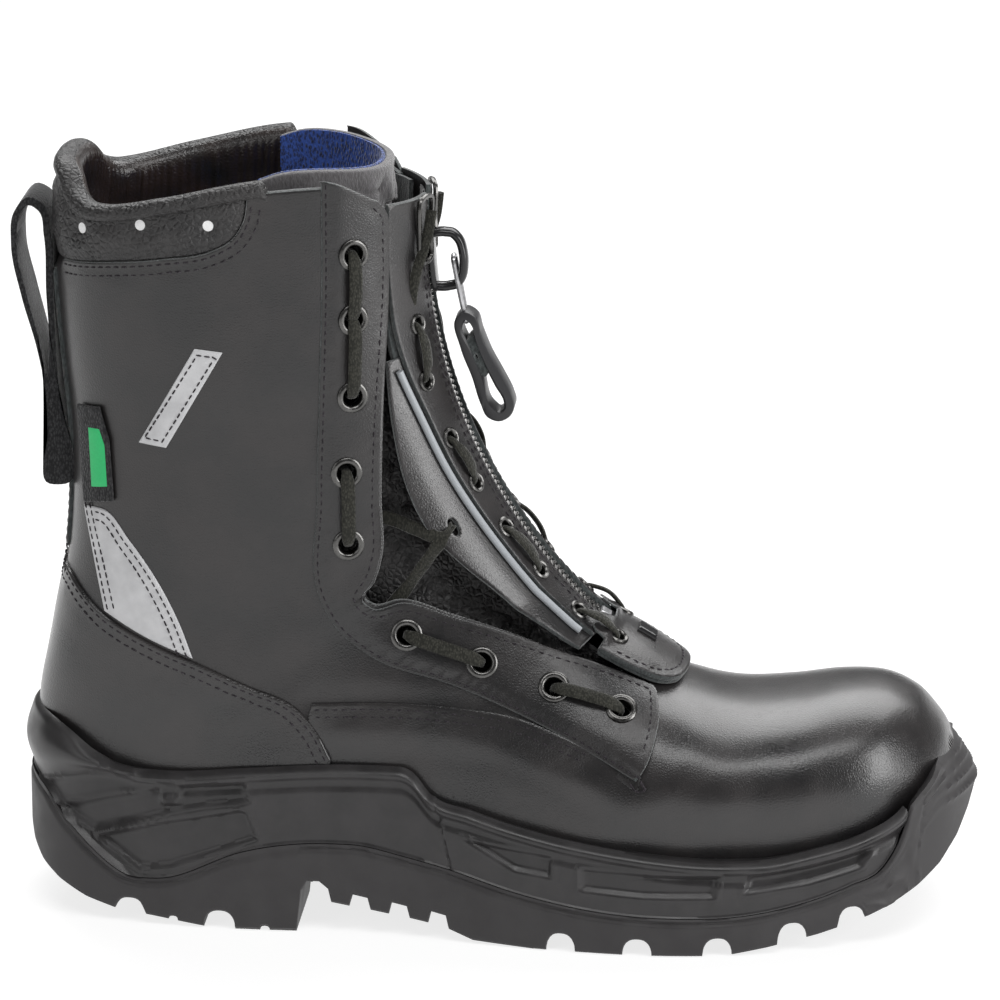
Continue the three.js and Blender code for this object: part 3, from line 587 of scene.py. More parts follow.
def stitches(places, out, chart=UPPER, **sizes):
    """Stitches along places at a height above the surface."""
    fine = chart.line(places)
    return stitch_parts(chart.raised(fine[:, 0], fine[:, 1], out),
                        chart.normal(fine[:, 0], fine[:, 1]), **sizes)


def stitching(name, parts, body="boot"):
    """One piece of thread from the parts of several rows."""
    points, faces = merged(parts)
    make(name, points, faces, LOOKS["thread"], "dark_cord", body=body)


def stitch_rows(name, rows, out, chart=UPPER, body="boot", **sizes):
    """Stitches along several rows, as one piece."""
    stitching(name, [part for row in rows for part in stitches(row, out, chart, **sizes)], body)


# ------------------------------------------------------------------ materials
class Look:
    """A material whose node tree is built step by step."""

    def __init__(self, name, color, roughness, **sockets):
        self.material = bpy.data.materials.new(name)
        self.material.use_nodes = True
        self.tree = self.material.node_tree
        self.shader = next(n for n in self.tree.nodes if n.type == "BSDF_PRINCIPLED")
        self.set("Base Color", (*color, 1))
        self.set("Roughness", roughness)
        for socket, value in sockets.items():
            self.set(socket.replace("_", " ").title().replace("Ior", "IOR"), value)
        self.where = self.tree.nodes.new("ShaderNodeTexCoord").outputs["Object"]
        self.last_bump = None

    def set(self, socket, value):
        """Sets one of the shader's sockets."""
        self.shader.inputs[socket].default_value = value

    def node(self, kind, **inputs):
        """A new node; its inputs are linked to sockets or set to numbers."""
        made = self.tree.nodes.new("ShaderNode" + kind)
        for name, value in inputs.items():
            socket = made.inputs[name.replace("_", " ").title()]
            if isinstance(value, bpy.types.NodeSocket):
                self.tree.links.new(value, socket)
            else:
                socket.default_value = value
        return made

    def noise(self, size, detail=3.0, stretch=(1, 1, 1), roughness=0.55):
        """Noise whose lumps are about `size` millimetres."""
        place = self.stretched(stretch)
        made = self.node("TexNoise", vector=place, scale=1 / (size * MM), detail=detail,
                         roughness=roughness)
        return made.outputs["Fac"]

    def cells(self, size, kind="DISTANCE_TO_EDGE", stretch=(1, 1, 1)):
        """Voronoi cells about `size` millimetres across."""
        made = self.node("TexVoronoi", vector=self.stretched(stretch), scale=1 / (size * MM))
        made.feature = kind
        return made.outputs["Distance"]

    def stretched(self, stretch):
        """Object coordinates, scaled on each axis."""
        if tuple(stretch) == (1, 1, 1):
            return self.where
        made = self.tree.nodes.new("ShaderNodeMapping")
        made.inputs["Scale"].default_value = stretch
        self.tree.links.new(self.where, made.inputs["Vector"])
        return made.outputs["Vector"]

    def spread(self, value, from_low, from_high, low, high):
        """Maps a value's range to another range."""
        made = self.tree.nodes.new("ShaderNodeMapRange")
        self.tree.links.new(value, made.inputs["Value"])
        for name, number in zip(("From Min", "From Max", "To Min", "To Max"),
                                (from_low, from_high, low, high)):
            made.inputs[name].default_value = number
        return made.outputs["Result"]

    def math(self, operation, a, b):
        """The result of a math node."""
        made = self.tree.nodes.new("ShaderNodeMath")
        made.operation = operation
        for socket, value in zip(made.inputs, (a, b)):
            if isinstance(value, bpy.types.NodeSocket):
                self.tree.links.new(value, socket)
            else:
                socket.default_value = value
        return made.outputs["Value"]

    def colors(self, value, low, high):
        """Base colour between two colours by a value."""
        made = self.tree.nodes.new("ShaderNodeMix")
        made.data_type = "RGBA"
        self.tree.links.new(value, made.inputs["Factor"])
        made.inputs["A"].default_value = (*low, 1)
        made.inputs["B"].default_value = (*high, 1)
        self.tree.links.new(made.outputs["Result"], self.shader.inputs["Base Color"])
        return self

    def link(self, value, socket):
        """Links a value to one of the shader's sockets."""
        self.tree.links.new(value, self.shader.inputs[socket])
        return self

    def bump(self, value, depth, strength=1.0):
        """Bump `depth` millimetres high, added to the bumps made before it."""
        made = self.tree.nodes.new("ShaderNodeBump")
        made.inputs["Strength"].default_value = strength
        made.inputs["Distance"].default_value = depth * MM
        self.tree.links.new(value, made.inputs["Height"])
        if self.last_bump is not None:
            self.tree.links.new(self.last_bump, made.inputs["Normal"])
        self.last_bump = made.outputs["Normal"]
        self.tree.links.new(self.last_bump, self.shader.inputs["Normal"])
        return self


BLACK = (0.011, 0.0105, 0.011)
BROWN_BLACK = (0.021, 0.0185, 0.0185)


def leather_look(name, grain, depth, rough_low, rough_high, coat=0.25, high=BROWN_BLACK):
    """Pebbled leather whose colour and shine drift over broad patches."""
    look = Look(name, BLACK, 0.4, coat_weight=coat, coat_roughness=0.22, specular_ior_level=0.5)
    pores = look.cells(grain)
    fine = look.noise(grain * 0.45, 4)
    broad = look.noise(22, 3)
    look.colors(look.spread(broad, 0.35, 0.65, 0, 1), BLACK, high)
    look.link(look.spread(broad, 0.3, 0.7, rough_low, rough_high), "Roughness")
    look.bump(look.spread(broad, 0.2, 0.8, 0, 1), 0.25, 0.35)
    look.bump(look.spread(pores, 0, 0.35, 0, 1), depth, 0.85)
    look.bump(fine, depth * 0.8, 0.7)
    return look.material


def rubber_look(name, low, high, roughness, depth=0.06):
    """Moulded rubber with a fine matt skin."""
    look = Look(name, low, roughness, specular_ior_level=0.45)
    broad = look.noise(9, 4)
    fine = look.noise(0.5, 2)
    look.colors(look.spread(broad, 0.35, 0.65, 0, 1), low, high)
    look.link(look.spread(broad, 0.3, 0.7, roughness - 0.08, roughness + 0.08), "Roughness")
    look.bump(fine, depth, 0.5)
    look.bump(broad, 0.2, 0.3)
    return look.material


def woven_look(name, low, high, thread=0.8, depth=0.25, sheen=0.5):
    """Woven or braided textile with a little fuzz."""
    look = Look(name, low, 0.85, sheen_weight=sheen, sheen_roughness=0.4, specular_ior_level=0.25)
    cells = look.cells(thread, "F1", (1, 1, 0.55))
    fuzz = look.noise(0.35, 4)
    look.colors(look.spread(look.math("ADD", cells, fuzz), 0.5, 1.2, 1, 0), low, high)
    look.bump(look.spread(cells, 0, 0.8, 1, 0), depth, 0.8)
    look.bump(fuzz, 0.08, 0.6)
    return look.material


def raw_edge_look(name, low, high):
    """Cut leather or suede: fibres that stand up a little."""
    look = Look(name, low, 0.95, sheen_weight=0.6, sheen_roughness=0.5, specular_ior_level=0.15)
    fibres = look.noise(0.7, 5, (1, 1, 0.4))
    look.colors(look.spread(fibres, 0.35, 0.7, 0, 1), low, high)
    look.bump(fibres, 0.5, 0.8)
    return look.material


def metal_look(name, color, roughness, wear=0.12):
    """Plated metal with faint wear marks."""
    look = Look(name, color, roughness, metallic=1.0)
    marks = look.noise(1.6, 5)
    look.link(look.spread(marks, 0.3, 0.75, roughness, roughness + wear), "Roughness")
    look.colors(look.spread(marks, 0.4, 0.8, 0, 1), color, tuple(1.6 * c for c in color))
    look.bump(marks, 0.03, 0.4)
    return look.material


def plain_look(name, color, roughness, size=0.6, depth=0.05):
    """An even material with a slight mottle."""
    look = Look(name, color, roughness, specular_ior_level=0.4)
    marks = look.noise(size, 3)
    look.colors(look.spread(marks, 0.3, 0.7, 0, 1), tuple(0.88 * c for c in color), color)
    look.bump(marks, depth, 0.5)
    return look.material


def reflective_look():
    """Glass-bead reflective cloth: pale grey, evenly lit, with a very fine grain."""
    look = Look("reflective_cloth", (0.5, 0.5, 0.51), 0.55, specular_ior_level=0.6,
                sheen_weight=0.2)
    beads = look.cells(0.35, "F1")
    cloud = look.noise(6, 3)
    look.colors(look.spread(cloud, 0.3, 0.7, 0, 1), (0.46, 0.46, 0.47), (0.56, 0.56, 0.57))
    look.bump(beads, 0.05, 0.6)
    return look.material


def knit_look(name, low, high):
    """Knitted cloth in two mixed colours."""
    look = Look(name, low, 0.95, sheen_weight=0.5, specular_ior_level=0.1)
    loops = look.cells(1.1, "F1", (1.5, 1, 0.7))
    mix = look.noise(1.4, 2)
    look.colors(look.spread(look.math("ADD", loops, mix), 0.55, 1.15, 0, 1), low, high)
    look.bump(look.spread(loops, 0, 0.7, 1, 0), 0.5, 1.0)
    return look.material


LOOKS = {
    "leather": leather_look("smooth_leather", grain=0.95, depth=0.06, rough_low=0.3,
                            rough_high=0.42),
    "toe_leather": leather_look("polished_leather", grain=0.95, depth=0.05, rough_low=0.25,
                                rough_high=0.36, coat=0.4),
    "soft_leather": leather_look("tumbled_leather", grain=2.1, depth=0.5, rough_low=0.42,
                                 rough_high=0.55, coat=0.1, high=(0.028, 0.026, 0.026)),
    "lining_leather": leather_look("lining_leather", grain=1.2, depth=0.1, rough_low=0.26,
                                   rough_high=0.4, coat=0.3, high=(0.03, 0.018, 0.014)),
    "suede": raw_edge_look("suede_edge", (0.02, 0.024, 0.024), (0.075, 0.085, 0.085)),
    "outsole": rubber_look("outsole_rubber", (0.026, 0.024, 0.025), (0.036, 0.034, 0.035),
                           roughness=0.55),
    "midsole": rubber_look("midsole_rubber", (0.021, 0.02, 0.0205), (0.032, 0.03, 0.031),
                           roughness=0.36, depth=0.03),
    "thread": woven_look("thread", (0.012, 0.01, 0.012), (0.05, 0.042, 0.05), thread=0.5,
                         depth=0.12, sheen=0.2),
    "lace": woven_look("lace_cord", (0.014, 0.014, 0.011), (0.05, 0.049, 0.04), thread=0.6,
                       depth=0.2, sheen=0.3),
    "tape": woven_look("woven_tape", (0.01, 0.01, 0.011), (0.05, 0.05, 0.052), thread=0.7,
                       depth=0.2, sheen=0.4),
    "knit": knit_look("blue_knit", (0.006, 0.007, 0.022), (0.035, 0.085, 0.34)),
    "lining": knit_look("black_knit", (0.012, 0.013, 0.02), (0.05, 0.055, 0.075)),
    "footbed": woven_look("footbed_felt", (0.03, 0.03, 0.034), (0.08, 0.08, 0.09), thread=0.9,
                          depth=0.2, sheen=0.5),
    "reflective": reflective_look(),
    "piping": plain_look("grey_piping", (0.36, 0.38, 0.4), roughness=0.35),
    "green": plain_look("green_print", (0.02, 0.52, 0.16), roughness=0.5),
    "gunmetal": metal_look("gunmetal", (0.1, 0.098, 0.095), roughness=0.22),
    "black_metal": plain_look("black_enamel", (0.02, 0.02, 0.021), roughness=0.16, size=2.5,
                              depth=0.02),
    "nubuck": raw_edge_look("grey_nubuck", (0.07, 0.066, 0.068), (0.12, 0.115, 0.12)),
    "vent": plain_look("vent_white", (0.85, 0.85, 0.85), roughness=0.6),
    "chain": metal_look("zip_chain", (0.2, 0.195, 0.19), roughness=0.24),
    "steel": metal_look("steel", (0.45, 0.45, 0.46), roughness=0.3),
    "strap": plain_look("strap_rubber", (0.03, 0.03, 0.032), roughness=0.38),
    "fibre": plain_look("fibre_board", (0.28, 0.2, 0.12), roughness=0.85, size=1.2, depth=0.1),
}


# ------------------------------------------------------------------ camera, light, floor
def look_at(thing, target):
    """Turns a camera or lamp toward a place."""
    thing.rotation_euler = (Vector(target) - thing.location).to_track_quat("-Z", "Y").to_euler()


CAMERA_TARGET = (0.0007, 0, 0.1365)
CAMERA_AZIMUTH, CAMERA_ELEVATION, CAMERA_DISTANCE = math.radians(5), math.radians(17), 2.0
CAMERA_SPAN = 0.327              # metres seen across the picture at the target
SENSOR = 36


def add_camera():
    data = bpy.data.cameras.new("camera")
    data.sensor_width = SENSOR
    data.lens = SENSOR * CAMERA_DISTANCE / CAMERA_SPAN
    camera = bpy.data.objects.new("camera", data)
    flat = math.cos(CAMERA_ELEVATION)
    back = Vector((math.sin(CAMERA_AZIMUTH) * flat, -math.cos(CAMERA_AZIMUTH) * flat,
                   math.sin(CAMERA_ELEVATION)))
    camera.location = Vector(CAMERA_TARGET) + CAMERA_DISTANCE * back
    look_at(camera, CAMERA_TARGET)
    bpy.context.scene.collection.objects.link(camera)
    bpy.context.scene.camera = camera


def add_area(name, location, target, size, power):
    """A soft rectangular lamp, in metres and watts."""
    data = bpy.data.lights.new(name, "AREA")
    data.shape = "RECTANGLE"
    data.size, data.size_y = size
    data.energy = power
    lamp = bpy.data.objects.new(name, data)
    lamp.location = location
    look_at(lamp, target)
    bpy.context.scene.collection.objects.link(lamp)


WORLD_LIGHT = 0.13                        # the white room as the boot sees it
FLOOR_GLOW = 0.78                         # a lit white table, so that only its shadow is darker


def add_world():
    """A white backdrop to the camera and a dim white room to everything else."""
    world = bpy.data.worlds.new("studio")
    world.use_nodes = True
    background = world.node_tree.nodes["Background"]
    background.inputs["Color"].default_value = (1, 1, 1, 1)
    ray = world.node_tree.nodes.new("ShaderNodeLightPath")
    level = world.node_tree.nodes.new("ShaderNodeMapRange")
    level.inputs["To Min"].default_value = WORLD_LIGHT
    level.inputs["To Max"].default_value = 1.0
    world.node_tree.links.new(ray.outputs["Is Camera Ray"], level.inputs["Value"])
    world.node_tree.links.new(level.outputs["Result"], background.inputs["Strength"])
    bpy.context.scene.world = world
    bpy.context.scene.view_settings.view_transform = "Standard"


def add_floor():
    floor = bpy.data.meshes.new("floor")
    floor.from_pydata([(-6, -6, 0), (6, -6, 0), (6, 6, 0), (-6, 6, 0)], [], [(0, 1, 2, 3)])
    look = Look("pale_floor", (0.3, 0.3, 0.3), 0.9, emission_color=(1, 1, 1, 1),
                emission_strength=FLOOR_GLOW)
    floor.materials.append(look.material)
    stage = bpy.data.objects.new("floor", floor)
    bpy.context.scene.collection.objects.link(stage)


def add_studio():
    """The white table under four soft lamps."""
    add_world()
    add_area("left_box", location=(-1.1, -1.2, 0.9), target=(-0.05, 0, 0.15), size=(0.8, 1.1),
             power=4.2)
    add_area("right_box", location=(1.25, -0.5, 0.5), target=(0.05, 0, 0.12), size=(0.5, 1.0),
             power=12)
    add_area("back_top_box", location=(0.05, 0.95, 1.25), target=(0, 0, 0.1), size=(2.0, 1.1),
             power=30)
    add_area("front_top_box", location=(0.25, -0.6, 1.35), target=(0.08, 0, 0.1), size=(1.1, 0.4),
             power=8)
    add_floor()


# ------------------------------------------------------------------ side-view lines of the upper
RIM = [(-150, 253), (-139, 250.6), (-134.5, 244), (-127, 241), (-104, 245), (-76, 251),
       (-53, 252.6), (-34, 243), (-20, 238)]
FACING_FRONT = [(-34, 252), (-34, 211), (-35.2, 178.4), (-36, 145), (-36, 125), (-38.5, 117),
                (-41.5, 112), (-38, 108.5), (-29, 110), (-12.8, 105), (3.4, 99.6), (23, 92),
                (36, 87.1), (49, 81.9)]
FACING_REAR = [(-53, 256), (-53.3, 213.5), (-54.3, 180), (-55.4, 146.4), (-55, 112.4),
               (-49.7, 102.2), (-38.3, 92.6), (-12, 84.1), (11, 75.2), (31, 66.5), (49, 57.5)]
QUARTER_LOW = [(-57.5, 77), (-28.3, 78), (-8.7, 76.9), (11, 74.2), (24, 69.9), (37, 65),
               (49.5, 57.8)]
QUARTER_END = [(49.5, 57.8), (52, 61.5), (54, 67), (55, 74), (53.5, 79.5), (49, 81.9)]
COUNTER_TOP = [(-170, 117), (-146, 117), (-137.7, 113.9), (-127, 104.7), (-110, 95.6),
               (-93.7, 89), (-77.4, 81.7), (-64.2, 76.3), (-56, 68), (-51, 58.6)]
COLLAR_LOW = [(-170, 219.5), (-138, 220.6), (-124.5, 223), (-104, 226), (-88, 229.2),
              (-81, 233.3), (-77.3, 239.2), (-76, 251.1)]
FEATHER = [(-170, 66), (-150, 66), (-142, 64), (-129, 57), (-119, 53.6), (-107, 53),
           (-77.5, 55.5), (-51, 57.5), (-29, 58), (-24, 56), (-18, 49), (-5, 45), (8, 41.5),
           (25, 38), (50, 34.5), (70, 32.4), (89, 31.8), (108, 34.5), (124, 38.5), (134, 43),
           (141, 50), (148, 55.5), (152, 53), (155.5, 48), (157.5, 43), (170, 42)]
DIVIDE = [(-170, 45), (-149, 42), (-139, 32), (-121, 17.5), (-114, 16), (-104, 17),
          (-81, 26.8), (-61, 30.5), (-45, 31), (-25, 27.5), (-11, 24.5), (12, 18.5), (38, 14.3),
          (70, 13), (96, 15.2), (118, 21.5), (130, 28), (136, 42), (141, 70), (170, 72)]
BOARD = [(-160, 37), (-100, 37), (-60, 37), (-30, 34), (5, 27.5), (40, 22.3), (70, 20.5),
         (100, 21.5), (130, 25), (160, 31)]

feather_height = height_of(FEATHER)
divide_height = height_of(DIVIDE)
board_height = height_of(BOARD)
rim_height = height_of(RIM)

# ------------------------------------------------------------------ the sole
SOLE_OUTER = [(-155.5, 0), (-152.5, -15), (-146, -26.5), (-137, -33.5), (-125, -38),
              (-105, -41), (-80, -42.8), (-55, -43), (-25, -45), (5, -50.5), (30, -54),
              (55, -55.5), (80, -53), (103, -47), (122, -40.5), (138, -30), (147.5, -19),
              (154, -5), (157.5, 11)]
SOLE_INNER = [(155.5, 23.5), (149, 38), (138, 48.8), (122, 55), (103, 57.5), (80, 57),
              (55, 53.5), (30, 48), (5, 43.5), (-25, 40.5), (-55, 40.5), (-80, 41.3),
              (-105, 41), (-125, 38), (-137, 33.5), (-146, 26.5), (-152.5, 15)]
SOLE_STEP = 0.9
HEEL_TURN, TOE_TURN = -118, 112          # between these x the columns run straight across
TREAD = [(-156, 27), (-155, 23), (-153, 18.5), (-149, 14.5), (-143, 11), (-133, 7), (-123, 4.5),
         (-111, 3), (-96, 0.8), (-90, 0), (-62.5, 0), (-61, 14), (-59, 17.5), (-55, 17.5),
         (-52, 15), (-51, 10.5), (-45, 9.5), (-44, 13.5), (-39, 12.5), (-38, 8.5), (-32, 7.5),
         (-31, 11.5), (-26, 10.5), (-25, 6.5), (-19, 5.5), (-18, 9.5), (-13, 8.5), (-12, 4),
         (-4, 1), (16, 0), (78, 0), (92, 2.2), (108, 5.5), (124, 10), (131, 12.5), (140, 17),
         (147, 22), (152, 28), (155.5, 35), (157.5, 41)]
# The notches between lugs: where each is, half its width, and its top.
ARCHES = [(-118, 4.8, 8.5), (-103.5, 1.6, 3.2), (-88, 5.2, 6), (-73, 1.6, 1.4), (25, 4.8, 6),
          (50, 4.8, 5.5), (76, 4.8, 6), (100, 4.8, 10), (119, 4.4, 14)]
CHANNEL_HALF, CHANNEL_RISE = 4, 3.2
ARCH_STEPS = (-1, -0.98, -0.9, -0.75, -0.5, 0, 0.5, 0.75, 0.9, 0.98, 1)
EDGE_ROUND = 1.4
BEAD = 2.3                                # half height of the bead along the upper's edge


def tread_height(x):
    """The lowest line of the sole at x: lug bottoms, with arched notches between them."""
    z = np.interp(x, *np.array(TREAD).T)
    for centre, half, top in ARCHES:
        t = np.clip(1 - (np.abs(x - centre) / half) ** 2.6, 0, 1) ** 0.5
        z = np.where(np.abs(x - centre) < half, np.maximum(z, z + (top - z) * t), z)
    return z


def sole_plan():
    """Columns round the sole: wall place, direction out, and the inner place each runs to."""
    outline = spline(SOLE_OUTER + SOLE_INNER, 0.2, closed=True)
    toe = int(np.argmax(outline[:, 0]))
    outer = outline[:toe + 1]
    inner = np.vstack([outline[toe:], outline[:1]])[::-1]
    breaks = [x + s for x, _ in TREAD for s in (-0.05, 0.05) if HEEL_TURN < x < TOE_TURN]
    arches = [c + half * s for c, half, _ in ARCHES for s in ARCH_STEPS if HEEL_TURN < c < TOE_TURN]
    x = np.concatenate([np.arange(HEEL_TURN, TOE_TURN + 0.01, SOLE_STEP), breaks, arches])
    x = np.unique(np.round(np.clip(x, HEEL_TURN, TOE_TURN), 2))
    outer_y = np.interp(x, outer[:, 0], outer[:, 1])
    inner_y = np.interp(x, inner[:, 0], inner[:, 1])
    toe_arc = resampled(joined([(TOE_TURN, outer_y[-1])], outer[outer[:, 0] > TOE_TURN],
                               inner[inner[:, 0] > TOE_TURN][::-1],
                               [(TOE_TURN, inner_y[-1])]), SOLE_STEP)
    heel_arc = resampled(joined([(HEEL_TURN, inner_y[0])], inner[inner[:, 0] < HEEL_TURN][::-1],
                                outer[outer[:, 0] < HEEL_TURN],
                                [(HEEL_TURN, outer_y[0])]), SOLE_STEP)
    wall = np.vstack([np.column_stack([x, outer_y]), toe_arc[1:-1],
                      np.column_stack([x, inner_y])[::-1], heel_arc[1:-1]])
    ahead = np.roll(wall, -3, axis=0) - np.roll(wall, 3, axis=0)
    out = np.column_stack([ahead[:, 1], -ahead[:, 0]])
    out /= np.linalg.norm(out, axis=1, keepdims=True)
    spine_x = np.clip(wall[:, 0], HEEL_TURN, TOE_TURN)
    spine = np.column_stack([spine_x, np.interp(spine_x, x, (outer_y + inner_y) / 2)])
    return wall, out, spine


def toward(wall, spine, distance):
    """Places `distance` in from the wall, toward the spine."""
    way = spine - wall
    length = np.linalg.norm(way, axis=1, keepdims=True)
    return wall + way * np.minimum(distance / length, 1)


# Sunk panels in the midsole's side, as outlines in side view.
UPPER_WINDOW = [(-145, 36.1), (-126, 42.3), (-107.6, 47.2), (-106.9, 42), (-101.3, 42.4),
                (-100.4, 48.7), (-79.5, 50.7), (-77.6, 44.2), (-92.6, 41.8), (-103.3, 39.4),
                (-130.6, 30.4)]
LOWER_WINDOW = [(-130, 28.4), (-105, 36), (-81, 41), (-78.6, 40.6), (-75.2, 31.5), (-90, 26),
                (-104, 20.6), (-114, 19)]
FRONT_WINDOWS = [
    [(-6.5, 35.7), (21.9, 31.7), (21.6, 25.2), (9.7, 26.6)],
    [(31.4, 28.8), (55, 27.2), (76.4, 26.8), (75.1, 20.2), (52, 20.2), (31.4, 21.5)],
    [(86.6, 27.3), (105, 28.8), (125.5, 33), (122.1, 27.5), (105, 23.4), (84.7, 21.3)],
]
# The lower edge of the lip round the heel.
SPOILER = height_of([(-160, 42), (-154.3, 42.9), (-145, 47), (-134.4, 50.6), (-116.1, 52.2),
                     (-100, 53)])
PARTING_TOP, PARTING_LEAN = (-17, 48), 0.234      # the groove between heel and front mouldings


def midsole_relief(x, z, low, high):
    """How far the midsole's wall stands out at each place."""
    top = high - z
    points = np.column_stack([x, z])
    relief = np.full(len(x), -0.7)
    heel = smoothstep(-112, -124, x)
    under = smoothstep(0, 3.5, SPOILER(x) - z) * heel
    band = hump((SPOILER(x) + high) / 2 - z, 0, np.maximum((high - SPOILER(x)) / 2 + 0.5, 2.4))
    relief += heel * (2.8 * band - 0.6) * (z > SPOILER(x) - 1)
    relief -= 1.7 * under * smoothstep(0, 2, z - low)
    fore = 1 - heel
    relief += fore * (1.7 * hump(top, BEAD, BEAD + 0.3) - 0.7 * hump(top, 2.9 * BEAD, BEAD))
    for window in (UPPER_WINDOW, LOWER_WINDOW, *FRONT_WINDOWS):
        depth = depth_inside(points, np.array(window))
        relief += -1.5 * smoothstep(-0.4, 1.5, depth) + 0.4 * hump(depth, -1.0, 1.1)
    away = np.abs((x - PARTING_TOP[0]) - (PARTING_TOP[1] - z) * PARTING_LEAN)
    relief += -0.7 * hump(away, 0, 0.8) * (z < PARTING_TOP[1] + 1)
    relief += 0.5 * smoothstep(0.6, 0, z - low)
    return relief


SLOPE_X = np.linspace(-160, 160, 3201)
DIVIDE_SLOPE = np.gradient(divide_height(SLOPE_X), 0.1)
RIDGE_PITCH = 2.5                         # between the toe's flowing ridges, where they are closest


def outsole_relief(x, z, low, high):
    """The outsole's wall: a lip along its top, rounded lugs and the toe's flowing ridges."""
    top = high - z
    across = top / np.sqrt(1 + np.interp(x, SLOPE_X, DIVIDE_SLOPE) ** 2)
    toe = smoothstep(118, 130, x)
    relief = 0.35 - 0.8 * hump(across, 1.6, 1.3) * (1 - toe)
    fan = 1 + np.clip(across, 0, 20) * 0.03
    ridges = np.abs(((across - 2.2) / (RIDGE_PITCH * fan)) % 1 - 0.5) * 2
    relief += toe * 0.75 * ridges ** 2 * smoothstep(1.5, 2.5, across) * smoothstep(17, 12, across)
    relief += toe * 1.1 * hump(across, 0.9, 1.5)
    relief -= rounded(z - low, EDGE_ROUND)
    relief -= rounded(top, 0.5)
    return relief


TOE_TOP, TOE_TIP = 148, 157.5                # x of the bumper's top edge and of its foremost place
TOE_FRONT = np.array(FEATHER[-5:-1])[::-1]   # the bumper's front in side view


def behind_corner(x, y):
    """Where the side lines are read: further back at the inner side's long toe corner."""
    return x - 8 * smoothstep(8, 40, y) * smoothstep(110, 150, x)


def toe_lean(x, z):
    """How far the toe's wall leans back at height z, so that its top edge meets the leather."""
    return (TOE_TIP - np.interp(z, TOE_FRONT[:, 1], TOE_FRONT[:, 0])) * smoothstep(141, TOE_TIP, x)


LEDGE = ((8.5, 1.2), (4.0, 0.5))          # (inward, drop) of the ledge that the upper stands on
FLOOR_INWARD = 9.5                        # where the floor under the foot starts
LAYER_GAP = 0.15                          # half the gap between outsole and midsole


def sole_layer(name, look, slot, low_of, high_of, relief, rows, x_limit, bottom_rows, replaced):
    """A closed rubber layer: outside wall, ledge under the upper, floor and underside."""
    wall, out, spine = sole_plan()
    x, y = wall.T
    low, high = low_of(x, y), np.maximum(high_of(x, y), low_of(x, y) + 0.05)
    lean = toe_lean(x, high)[:, None]
    is_top = high_of is not outsole_top
    floor = board_height(x) - 0.5
    if not is_top:
        floor = np.minimum(divide_height(x), board_height(x) - 1.5) - 0.3
    levels = [np.column_stack([spine, floor]),
              np.column_stack([toward(wall, spine, FLOOR_INWARD), floor])]
    for inward, drop in LEDGE:
        place = toward(wall, spine, inward + lean)
        shelf = np.maximum(high_of(*place.T), low_of(*place.T)) - drop
        levels.append(np.column_stack([place, np.maximum(shelf, floor)]))
    for share in np.linspace(0, 1, rows):
        z = high - (high - low) * share
        stand = relief(x, z, low, high) - toe_lean(x, z)
        if is_top:
            stand = stand - rounded((high - z) * 0.9, 2.0)
        levels.append(np.column_stack([wall + out * stand[:, None], z]))
    for distance, lift, from_spine in bottom_rows:
        start, end = (spine, wall) if from_spine else (wall, spine)
        place = toward(start, end, distance)
        levels.append(np.column_stack([place, low_of(*place.T) + lift]))
    rings = np.array(levels)
    if x_limit is not None:
        # The layer thins away where its two edges meet, so the toe's columns are left out.
        order = np.where(behind_corner(x, y) <= x_limit)[0]
        start = order[np.argmax(np.diff(np.append(order, order[0] + len(x))) > 1)] + 1
        columns = (np.arange(len(order)) + start + (len(x) - len(order))) % len(x)
        rings = rings[:, columns]
    return close_sole(name, rings, x_limit is None, look, slot, replaced)


def close_sole(name, rings, closed, look, slot, replaced):
    """Makes a sole layer's piece from its rings, with filled ends where it is open."""
    levels, columns = rings.shape[:2]
    points = rings.reshape(-1, 3)
    faces = grid_faces(levels, columns, close_rows=True, close_columns=closed)
    if not closed:
        faces.append([r * columns for r in range(levels)])
        faces.append([r * columns + columns - 1 for r in range(levels)][::-1])
    piece = make(name, points, faces, look, slot, replaced=replaced, sharp=35)
    tidy(piece)
    return piece


def tidy(piece, distance=2e-5):
    """Joins points that lie together, drops empty faces and turns the faces outward."""
    work = bmesh.new()
    work.from_mesh(piece.data)
    bmesh.ops.remove_doubles(work, verts=work.verts, dist=distance)
    bmesh.ops.dissolve_degenerate(work, edges=work.edges, dist=1e-6)
    bmesh.ops.recalc_face_normals(work, faces=work.faces)
    work.to_mesh(piece.data)
    work.free()
    piece.data.set_sharp_from_angle(angle=math.radians(38))


def upper_edge(x, y):
    """The height of the upper's edge at a place of the sole's plan."""
    return feather_height(np.minimum(behind_corner(x, y), TOE_TOP))


def outsole_top(x, y):
    """The outsole's top: where the midsole starts, or the upper's edge."""
    return np.minimum(divide_height(behind_corner(x, y)) - LAYER_GAP, upper_edge(x, y))


def midsole_low(x, y):
    """The midsole's lower edge, just above the outsole's."""
    return divide_height(behind_corner(x, y)) + LAYER_GAP


def tread_line(x, _):
    """The tread, which is the same all across the sole."""
    return tread_height(x)


MIDSOLE_END = 136.5                       # where its lower and upper edges meet


def add_sole():
    """The lugged outsole and, over it, the midsole with its moulded panels."""
    # Rows under the layer: (distance, lift, whether it is measured from the middle).
    bottom = [(0.8, 0, False), (20, 0, False), (CHANNEL_HALF + 0.7, 0, True),
              (CHANNEL_HALF, CHANNEL_RISE, True), (0, CHANNEL_RISE, True)]
    sole_layer("outsole", LOOKS["outsole"], "sole_rubber", tread_line, outsole_top, outsole_relief,
               rows=26, x_limit=None, bottom_rows=bottom, replaced=["outsole"])
    under = [(4, 0.0, False), (8.5, 0.0, False)]
    sole_layer("midsole", LOOKS["midsole"], "midsole_foam", midsole_low, upper_edge, midsole_relief,
               rows=40, x_limit=MIDSOLE_END, bottom_rows=under, replaced=["midsole"])


